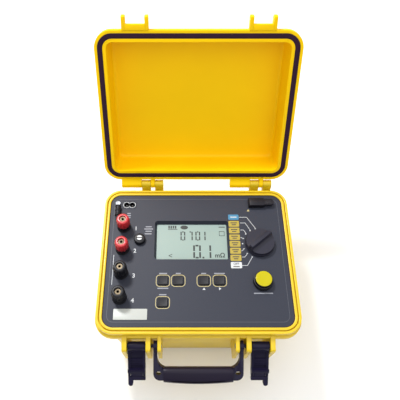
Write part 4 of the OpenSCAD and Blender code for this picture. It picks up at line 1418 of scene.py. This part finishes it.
@dataclass
class Panel:
    """What stands on the panel and what is printed on it."""

    top: float = 133.5
    ink: float = 0.12
    plug_x: float = -116.1

    def build(self) -> None:
        """Builds the panel's pieces."""
        self.knob()
        self.start()
        self.keys()
        self.terminals()
        self.fuse()
        self.inlet()
        self.port()
        self.plug()
        self.prints()
        self.display()

    def knob(self) -> None:
        """Round selector knob with a raised bar between two scoops."""
        (cx, cy), z = KNOB_CENTRE, self.top + 0.6
        profile = [
            (20.4, 0), (21, 0.5), (21, 2.6), (20.3, 3.4), (20.0, 8.0), (19.5, 14.6), (18.4, 15.8),
            (17.0, 16.0),
        ]
        piece = Sculpt.turned("selector_knob_top", (cx, cy, z), profile, 96)
        notches = []
        for k in range(36):
            angle = math.radians(10 * k)
            spot = (cx + 20.9 * math.cos(angle), cy + 20.9 * math.sin(angle), z + 8.0)
            notches.append(Sculpt.rod("notch", spot, 0.85, 9.0, Axis.Z, 12))
        piece.cut(notches[0].join(*notches[1:]))
        for s in (-1, 1):
            wing = [
                (s * a, b)
                for a, b in (
                    (2.1, 20), (2.4, 12.4), (3.3, 11.4), (3.7, 9.4), (8, 8.2), (14, 7.8), (24, 7.0),
                    (24, 20),
                )
            ]
            tool = Sculpt.sheet("scoop", wing, -30, 60, Axis.Y)
            turn = Matrix.Translation(Vector((cx, cy, z)) * MM) @ Matrix.Rotation(
                math.radians(219.4 + 90), 4, "Z"
            )
            piece.cut(tool.moved(turn))
        piece.soften(0.7, 3)
        piece.done("selector", "knob", "dark_plastic", "selector_knob")

    def start(self) -> None:
        """Domed start button in its collar."""
        (cx, cy), z = START_CENTRE, self.top
        skirt = [(11.2, 5.5), (11.5, 5.8), (11.5, 11.1), (11.2, 11.4)]
        Sculpt.turned("start_button_skirt", (cx, cy, z), skirt, 72).soften(0.0).done(
            "start", "black", "button_plastic"
        )
        cap = [(11.0, 10.2), (11.2, 11.2), (11.0, 11.7), (10.2, 12.0), (7.5, 11.8), (3, 11.6)]
        Sculpt.turned("start_button_cap", (cx, cy, z), cap, 72).soften(0.0).done(
            "start", "button", "button_plastic", "start_button")
        stem = [(4.0, -13.0), (4.0, 5.6)]
        Sculpt.turned("start_button_stem", (cx, cy, z), stem, 40).soften(0.0).done(
            "start", "button", "button_plastic"
        )
        ring = [(13.4, 0), (13.4, 6.0), (13.0, 6.8), (12.2, 7.0)]
        collar = Sculpt.turned("start_button_collar", (cx, cy, z), ring, 72)
        collar.cut(
            Sculpt.rod("well", (cx, cy, z + 6.6), 11.85, 10, Axis.Z, 72),
            Sculpt.rod("hole", (cx, cy, z), 4.5, 10, Axis.Z, 32),
        )
        collar.soften(0.0).done("case", "black", "black_plastic", "start_collar")

    def keys(self) -> None:
        """Five keys with dished tops."""
        for name, (x, y) in KEY_PLACES.items():
            low = self.top - 3.3
            piece = Sculpt.block(
                f"{name}_key", (x - 6.75, y - 6.5, low), (x + 6.75, y + 6.5, self.top + 2.5)
            ).round_upright(1.8, 5)
            with piece.editing():
                piece.faces(lambda mid, way: way.z > 0.9)
                piece.inset(1.1, 0.0)
                piece.inset(0.5, -0.15)
            piece.soften(0.5, 3)
            lip = Sculpt.block(
                "lip", (x - 7.75, y - 7.5, low - 1.5), (x + 7.75, y + 7.5, low)
            ).round_upright(2, 4)
            stem = Sculpt.block(
                "stem", (x - 2, y - 2, low - 3.6), (x + 2, y + 2, low - 1.4)
            ).soften(0.2, 1)
            piece.join(lip.soften(0.2, 1), stem)
            piece.done(name, "key", "key_rubber", f"key_{name}")

    def terminals(self) -> None:
        """Screw caps on turned bases."""
        rows = [
            ("current_cap_1", "cap_current_1", 48, "red"),
            ("potential_cap_1", "cap_potential_1", 12, "red"),
            ("potential_cap_2", "cap_potential_2", -25, "black"),
            ("current_cap_2", "cap_current_2", -61, "black"),
        ]
        base = [(10, 0), (10, 1.2), (9.2, 2.0), (9.0, 7.4), (8.6, 8.6), (7.8, 9.0)]
        for i, (body, node, y, finish) in enumerate(rows):
            foot = Sculpt.turned(f"terminal_base_{i + 1}", (TERMINAL_X, y, self.top), base, 64)
            foot.cut(
                Sculpt.rod("hole", (TERMINAL_X, y, self.top + 4), 4.05, 20, Axis.Z, 40)
            ).soften(0.0)
            foot.done("case", "black", "black_plastic", *(["post_bases"] if i == 0 else []))
            z = self.top + 9.4
            skirt = [
                (9.2, 0), (9.5, 0.4), (9.5, 11.6), (8.9, 13.0), (8.4, 14.6), (7.6, 15.3),
                (6.4, 15.5),
            ]
            cap = Sculpt.turned(f"{body}_head", (TERMINAL_X, y, z), skirt, 96)
            flutes = []
            for k in range(14):
                angle = math.radians(360 / 14 * k)
                spot = (TERMINAL_X + 10.1 * math.cos(angle), y + 10.1 * math.sin(angle), z + 6.5)
                flutes.append(Sculpt.rod("flute", spot, 1.6, 17, Axis.Z, 20))
            cutter = flutes[0].join(*flutes[1:])
            cap.cut(
                cutter,
                Sculpt.rod("bore", (TERMINAL_X, y, z + 5.7), 4.05, 16, Axis.Z, 40),
                Sculpt.rod("mouth", (TERMINAL_X, y, z + 14.6), 4.9, 5.2, Axis.Z, 40),
            )
            cap.soften(0.35, 2, 38)
            cap.done(body, finish, "red_plastic" if finish == "red" else "black_plastic", node)

    def fuse(self) -> None:
        """Fuse cap with a slotted hub."""
        cx, cy, z = -82.3, 26.5, self.top
        rim = [(8.0, 0.3), (8.25, 0.6), (8.25, 4.6), (7.6, 5.8), (6.4, 6.3), (5.2, 6.3)]
        piece = Sculpt.turned("fuse_cap_head", (cx, cy, z), rim, 64)
        hub = Sculpt.turned("hub", (cx, cy, z), [(4.6, 5.8), (4.6, 7.0), (4.2, 7.4)], 48)
        stem = Sculpt.rod("stem", (cx, cy, z - 2.8), 5.0, 6.4, Axis.Z, 40)
        piece.fuse(hub, stem)
        low, high = (cx - 4.8, cy - 0.7, z + 6.2), (cx + 4.8, cy + 0.7, z + 8)
        piece.cut(Sculpt.block("slot", low, high)).soften(0.25, 2)
        piece.done("fuse_closure", "black", "black_plastic", "fuse_cap")
        disc = Sculpt.turned("fuse_cap_mark", (cx, cy, z), [(3.9, 7.35), (3.9, 7.46)], 40)
        disc.cut(Sculpt.block("slot", low, high)).soften(0.0)
        disc.done("fuse_closure", "white_ink", "white_label")

    def inlet(self) -> None:
        """Two-pole mains inlet: a flush flange, the figure-eight socket and its white outline."""
        cx, cy, z = -100.0, 85.0, self.top

        def eight(name: str, radius: float, low: float, high: float, share: float = 0.6) -> Sculpt:
            """Two round wells, with a waist of that share of the radius between them."""
            wells = [
                Sculpt.rod(
                    name, (cx + s * 4.3, cy, (low + high) / 2), radius, high - low, Axis.Z, 40
                )
                for s in (-1, 1)
            ]
            waist = Sculpt.block(
                "waist", (cx - 4.3, cy - radius * share, low), (cx + 4.3, cy + radius * share, high)
            )
            return wells[0].fuse(wells[1], waist)

        flange = Sculpt.sheet(
            "inlet_flange", round_rect((cx, cy), 22, 13, 4.9), z - 0.02, 0.5, Axis.Z
        )
        flange.cut(eight("hole", 4.3, z - 2, z + 3)).soften(0.15, 2)
        flange.done("case", "panel", "black_plastic")
        body = eight("inlet_socket", 4.35, z - 18, z + 0.9)
        body.cut(eight("wells", 3.8, z - 10.5, z + 3, 0.2)).soften(0.2, 2)
        body.done("case", "black", "black_plastic", "mains_inlet")
        ring = eight("inlet_outline", 5.1, z + 0.4, z + 0.6)
        ring.cut(eight("hole", 4.4, z - 2, z + 3)).soften(0.0)
        ring.done("case", "white_ink", "white_label")

    def port(self) -> None:
        """Rubber cover of the data port with its pull tab."""
        z = self.top + 3.3
        outline = [(78.6, z), (101, z), (101, z + 4.5), (79.6, z + 4.5)] + arc(
            (79.1, z + 1.1), 1.1, 150, 240, 3
        )
        piece = Sculpt.sheet("port_cover_pad", outline, 80.4, 12.8, Axis.Y)
        tab = Sculpt.sheet(
            "tab", arc((111, 86.8), 5, -90, 90, 10) + [(99, 91.8), (99, 81.8)], z, 4, Axis.Z
        )
        ridges = [
            Sculpt.block("ridge", (x, 83.5, z + 3.5), (x + 1, 90.5, z + 4.6))
            for x in (104, 107, 110)
        ]
        piece.fuse(tab, *ridges).soften(0.5, 2)
        piece.done("port_flap", "plug", "black_rubber", "port_cover")

    def plug(self) -> None:
        """Rubber dust plug of the mains inlet on its strap."""
        z = self.top
        x, mid = self.plug_x, z + 4.6
        body = Sculpt.rod("inlet_plug_body", (x, 73.2, mid), 4.0, 15.6, Axis.Y, 40)
        body.fuse(Sculpt.rod("tip", (x, 62.5, mid), 2.5, 13, Axis.Y, 32))
        for y in (80.2, 72.6, 65.0):
            body.fuse(Sculpt.rod("collar", (x, y, mid), 4.6, 1.6, Axis.Y, 40))
        body.soften(0.4, 2)
        strap = [(x + 1.7, 79), (-114.7, 85)] + arc((-117, 86.5), 4.5, -20, 200, 14) + [
            (x - 3.2, 79)
        ]
        band = Sculpt.sheet("strap", strap, z, 1.2, Axis.Z)
        band.cut(Sculpt.rod("hole", (-117, 86.5, z), 1.6, 8, Axis.Z, 24)).soften(0.3, 2)
        body.join(band)
        body.done("case", "plug", "black_rubber", "inlet_dust_plug")

    def decal(self, name: str, points: Sequence[Flat], lift: float = 0.0) -> Sculpt:
        """A flat print on the panel.

        Args:
            name: the piece's name.
            points: its outline.
            lift: how far it lies over the panel.

        Returns:
            The print.
        """
        return Sculpt.sheet(name, points, self.top + lift, self.ink, Axis.Z)

    def line(self, route: Sequence[Flat], width: float) -> list[Sculpt]:
        """A printed line of straight runs.

        Args:
            route: its points.
            width: its width.

        Returns:
            One print for each run.
        """
        runs = []
        for (x0, y0), (x1, y1) in zip(route, route[1:]):
            length = math.hypot(x1 - x0, y1 - y0)
            nx, ny = -(y1 - y0) / length * width / 2, (x1 - x0) / length * width / 2
            runs.append(
                self.decal(
                    "run",
                    [
                        (x0 + nx, y0 + ny), (x0 - nx, y0 - ny), (x1 - nx, y1 - ny),
                        (x1 + nx, y1 + ny),
                    ],
                )
            )
        return runs

    def frame_print(
        self, name: str, centre: Flat, width: float, depth: float, radius: float, line: float
    ) -> Sculpt:
        """A printed frame with round corners.

        Args:
            name: the piece's name.
            centre: its middle.
            width: its outer width.
            depth: its outer depth.
            radius: its outer corner radius.
            line: its line's width.

        Returns:
            The print.
        """
        outer = self.decal(name, round_rect(centre, width, depth, radius))
        inner = Sculpt.sheet(
            "core",
            round_rect(centre, width - 2 * line, depth - 2 * line, max(0.4, radius - line)),
            self.top - 1,
            3,
            Axis.Z,
        )
        return outer.cut(inner)

    def words(self, text: str, centre: Flat, size: float, bold: float = 0.0) -> Sculpt:
        """Printed characters on the panel."""
        return Sculpt.words("mark", text, centre, size, self.ink, self.top, bold)

    @staticmethod
    def hand_over(
        name: str, group: Sequence[Sculpt], finish: str, slot: str = "white_label"
    ) -> None:
        """Joins prints of one ink into one piece on the case.

        Args:
            name: the joined piece's name.
            group: the prints.
            finish: a key of FINISHES.
            slot: the record's material slot.
        """
        group[0].join(*group[1:]).obj.name = name
        group[0].done("case", finish, slot)

    def prints(self) -> None:
        """Everything that is printed on the panel: plain numbers, arrows, bars, frames; and a
        painted highlight along the panel's embossed border.
        """
        white: list[Sculpt] = []
        for number, y in (("1", 45), ("2", 9), ("3", -29), ("4", -65)):
            white.append(self.words(number, (-88.5, y), 8.5, 0.12))
        routes = [
            [(63.2, 64.0), (74.3, 64.0), (86.1, 45.2)], [(64.1, 54.4), (71.4, 54.4), (78.6, 41.9)],
            [(64.0, 42.7), (68.4, 42.7), (71.7, 37.0)], [(63.3, 30.8), (67.2, 28.8)],
            [(63.3, 8.9), (67.8, 12.0)], [(63.4, -0.5), (67.6, -0.5), (71.6, 5.0)],
            [(62.5, -13.5), (70.2, -13.5), (78.0, -0.5)], [(-118, 2.9), (-118, -42.4)],
        ]
        for route in routes:
            white += self.line(route, 0.7)
        for i in range(8):
            angle = math.radians(100 + 20 * i)
            spot = (
                KNOB_CENTRE[0] + 24.4 * math.cos(angle), KNOB_CENTRE[1] + 24.4 * math.sin(angle)
            )
            white.append(self.decal("dot", arc(spot, 1.0, 0, 330, 11)))
        white.append(self.decal("up_mark", [(6.4, -49.6), (10.6, -49.6), (8.5, -46.4)]))
        white.append(self.decal("side_mark", [(29.0, -50.0), (29.0, -46.0), (32.2, -48.0)]))
        white.append(self.decal("bar", round_rect((RANGE_X, 64.2), 9.6, 1.5, 0.4, 2), 0.07))
        white.append(self.decal("off_plate", round_rect((RANGE_X, -13.0), 15.6, 9.6, 1.6)))
        self.hand_over("white_prints", white, "white_ink")
        yellow = [
            self.decal("range_plate", round_rect((RANGE_X, y), 15.4, h, 1.4)) for y, h in RANGE_ROWS
        ]
        self.hand_over("range_plates", yellow, "yellow_ink")
        self.decal("memory_plate", round_rect((RANGE_X, 64.2), 15.4, 8.8, 1.2)).done(
            "case", "blue_ink", "white_label"
        )
        beige = [self.frame_print("key_frame", (x, y), 19.6, 17.6, 5.2, 0.9)
                 for x, y in KEY_PLACES.values()]
        beige.append(self.decal("triangle", [(75.2, 74.2), (79.6, 74.2), (77.4, 77.8)]))
        self.hand_over("key_frames", beige, "beige_ink")
        dark = []
        lift = self.ink - 0.05
        for y, _ in RANGE_ROWS:
            dark.append(self.decal("bar", round_rect((RANGE_X, y + 1.5), 9.6, 1.5, 0.4, 2), lift))
            dark.append(self.decal("bar", round_rect((RANGE_X, y - 1.6), 6.4, 1.5, 0.4, 2), lift))
        dark.append(
            Sculpt.words("mark", "OFF", (RANGE_X, -11.2), 4.6, self.ink, self.top + lift, 0.05)
        )
        dark.append(self.decal("bar", round_rect((RANGE_X, -15.3), 9.0, 1.3, 0.4, 2), lift))
        self.hand_over("range_plate_lines", dark, "dark_ink")
        soft: list[Sculpt] = []
        bars = [
            (-47.7, -25.6, 11), (-26.7, -25.6, 7), (8.5, -25.6, 7), (30.4, -25.6, 15),
            (-47.7, -47.4, 15), (-47.7, -56.6, 10), (89, -54.6, 26), (-70, 48, 9), (-70, 44.4, 13),
            (-70, 40.6, 9), (-70.5, 36.4, 10), (-100, 70.5, 5), (-100, 67, 6), (-100, 63.5, 5),
        ]
        for x, y, w in bars:
            soft.append(self.decal("bar", round_rect((x, y), w, 1.7, 0.5, 3)))
        self.hand_over("text_bars", soft, "grey_ink")
        # The panel's embossed border, drawn as a thin lighter ring: painted highlight.
        border = self.frame_print("panel_border_line", (-0.3, 0.3), 243.5, 190, 9, 0.5)
        border.done("case", "border_highlight_ink", "white_label")
        plate = Sculpt.sheet(
            "label_plate_blank", round_rect((-90.5, -84), 45, 15, 1), self.top, 0.6, Axis.Z
        ).soften(0.15, 2)
        plate.done("case", "label", "white_label", "label_plate")

    def display(self) -> None:
        """Display segments: plain digits, a unit and small marks."""
        z = self.top - 3 - 3.5 + 0.02
        pieces: list[Sculpt] = []

        def bar(x0: float, y0: float, x1: float, y1: float) -> None:
            """One segment between two corners."""
            pieces.append(
                Sculpt.sheet("segment", [(x0, y0), (x1, y0), (x1, y1), (x0, y1)], z, 0.06, Axis.Z)
            )

        def digit(x: float, y: float, w: float, h: float, t: float, code: str) -> None:
            """One seven-segment digit; code names the lit segments a to g."""
            g = t * 0.35
            spots = {
                "a": (x + g + t, y + h - t, x + w - t - g, y + h),
                "d": (x + g + t, y, x + w - t - g, y + t),
                "g": (x + g + t, y + h / 2 - t / 2, x + w - t - g, y + h / 2 + t / 2),
                "f": (x, y + h / 2 + g, x + t, y + h - g),
                "b": (x + w - t, y + h / 2 + g, x + w, y + h - g),
                "e": (x, y + g, x + t, y + h / 2 - g),
                "c": (x + w - t, y + g, x + w, y + h / 2 - g),
            }
            for key in code:
                bar(*spots[key])

        for x, code in ((-23.5, "abcdef"), (-12.6, "abc"), (-1.7, "abcdef"), (6.2, "bc")):
            digit(x, 28.8, 7.0, 15.0, 1.8, code)
        digit(-5.2, 0.3, 11.0, 21.5, 2.5, "abcdef")
        bar(7.9, 0.3, 10.4, 2.9)
        digit(10.0, 0.3, 10.6, 21.5, 2.5, "bc")
        for i in range(4):
            bar(-41.4 + 3.2 * i, 48.6, -39.2 + 3.2 * i, 53.2)
        bar(-42.0, 46.8, -28.0, 47.8)
        pieces.append(
            Sculpt.sheet(
                "oval",
                [(a * 1.7 - 18.0, b + 50.4) for a, b in arc((0, 0), 3.3, 0, 340, 17)],
                z,
                0.06,
                Axis.Z,
            )
        )
        pieces.append(Sculpt.words("unit", "mΩ", (33.0, 4.8), 9.5, 0.03, z + 0.03, 0.22))
        for y0, y1 in ((4.6, 6.8), (4.6, 2.4)):
            pieces.append(
                Sculpt.sheet(
                    "mark",
                    [(-40.5, y0 - 0.5), (-40.5, y0 + 0.5), (-35.4, y1 + 0.5), (-35.4, y1 - 0.5)],
                    z,
                    0.06,
                    Axis.Z,
                )
            )
        for x0, y0, x1, y1 in (
            (33, 36.2, 41, 37.0), (33, 43.2, 41, 44.0), (33, 36.2, 33.7, 44), (40.3, 36.2, 41, 44),
            (33, 50.2, 42, 51.6),
        ):
            bar(x0, y0, x1, y1)
        self.hand_over("display_segments", pieces, "segment", "display_cell")


# ---------------------------------------------------------------- studio

CARRIED: dict[str, str] = {
    "case_screws": "steel", "hinge_pins": "steel", "pivot_pins": "latch", "front_panel": "panel",
    "panel_seal": "rubber", "lcd_window": "display", "lcd_module": "display",
    "display_board": "board", "key_board": "board", "tact_switches": "black", "main_board": "board",
    "board_standoffs": "brass", "heat_sink": "aluminium", "battery_pack": "wrap",
    "battery_bracket": "steel", "charger_transformer": "iron", "rotary_switch": "black",
    "start_switch": "black", "post_studs": "brass", "post_nuts": "steel", "post_leads": "lead",
    "inlet_pins": "black", "strap_screw": "steel", "fuse_holder": "black", "fuse_link": "fuse",
    "port_block": "black", "trigger_pin_left": "steel", "trigger_pin_right": "steel",
    "selector_shaft": "steel",
}


@dataclass
class Studio:
    """Floor, soft lights and the camera at the photograph's angle."""

    eye: Point = (-25.4, -302.5, 778.7)
    pitch: float = 58.42
    focal_px: float = 500.6
    centre_px: float = 179.2
    image_px: float = 400.0
    # The sky's height where it starts and ends to brighten, and its strength there.
    dome: tuple[float, float, float, float] = (0.05, 0.9, 0.10, 1.28)

    def build(self) -> None:
        """Sets the stage, the lights and the camera."""
        self.floor()
        self.lights()
        self.camera()

    def floor(self) -> None:
        """A wide pale sheet under the feet."""
        bpy.ops.object.select_all(action="DESELECT")
        bpy.ops.mesh.primitive_plane_add(size=12.0, location=(0, 0, -0.0002))
        floor = bpy.context.object
        floor.name = "studio_floor"
        floor.data.materials.append(Seamless("studio_white", (0.95, 0.95, 0.95)).build())

    def lights(self) -> None:
        """A white dome, brightest overhead, a key from the back left and a wide fill."""
        world = bpy.data.worlds.new("studio_sky")
        bpy.context.scene.world = world
        world.use_nodes = True
        tree = world.node_tree
        split = tree.nodes.new("ShaderNodeSeparateXYZ")
        tree.links.new(tree.nodes.new("ShaderNodeTexCoord").outputs["Generated"], split.inputs[0])
        dome = tree.nodes.new("ShaderNodeMapRange")
        for place, value in enumerate(self.dome):
            dome.inputs[place + 1].default_value = value
        tree.links.new(split.outputs["Z"], dome.inputs[0])
        tree.nodes["Background"].inputs[0].default_value = (1.0, 1.0, 1.0, 1.0)
        tree.links.new(dome.outputs[0], tree.nodes["Background"].inputs[1])
        bpy.context.scene.view_settings.view_transform = "Standard"
        for name, place, size, power, aim in (
            ("key", (-620, 860, 1700), 0.3, 27.0, (0, 0, 120)),
            ("fill", (300, -700, 1700), 1.2, 5.0, (0, 150, 240)),
        ):
            data = bpy.data.lights.new(name, "AREA")
            data.energy, data.size = power, size
            light = bpy.data.objects.new(name, data)
            bpy.context.scene.collection.objects.link(light)
            light.location = Vector(place) * MM
            light.rotation_euler = (
                (Vector(aim) - Vector(place)).to_track_quat("-Z", "Y")
            ).to_euler()

    def camera(self) -> None:
        """The camera, solved from the case's rim in the photograph."""
        data = bpy.data.cameras.new("photo_camera")
        camera = bpy.data.objects.new("photo_camera", data)
        bpy.context.scene.collection.objects.link(camera)
        data.sensor_width = 36.0
        data.lens = 36.0 * self.focal_px / self.image_px
        data.shift_x = (self.image_px / 2 - self.centre_px) / self.image_px
        data.clip_start, data.clip_end = 0.01, 20.0
        camera.location = Vector(self.eye) * MM
        camera.rotation_euler = (math.radians(90 - self.pitch), 0.0, 0.0)
        bpy.context.scene.camera = camera


def dress_carried() -> None:
    """Gives each CAD node that stays in view its finish."""
    for node, finish in CARRIED.items():
        Paint.dress(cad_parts[node], finish)


def main() -> None:
    """Builds every sub-assembly in order."""
    logging.basicConfig(level=logging.INFO, format="%(message)s")
    Studio().build()
    CaseTub().build()
    Lid().build()
    Handle().build()
    for side in (-1, 1):
        Latch(side).build()
    Panel().build()
    dress_carried()


if __name__ == "__main__":
    main()
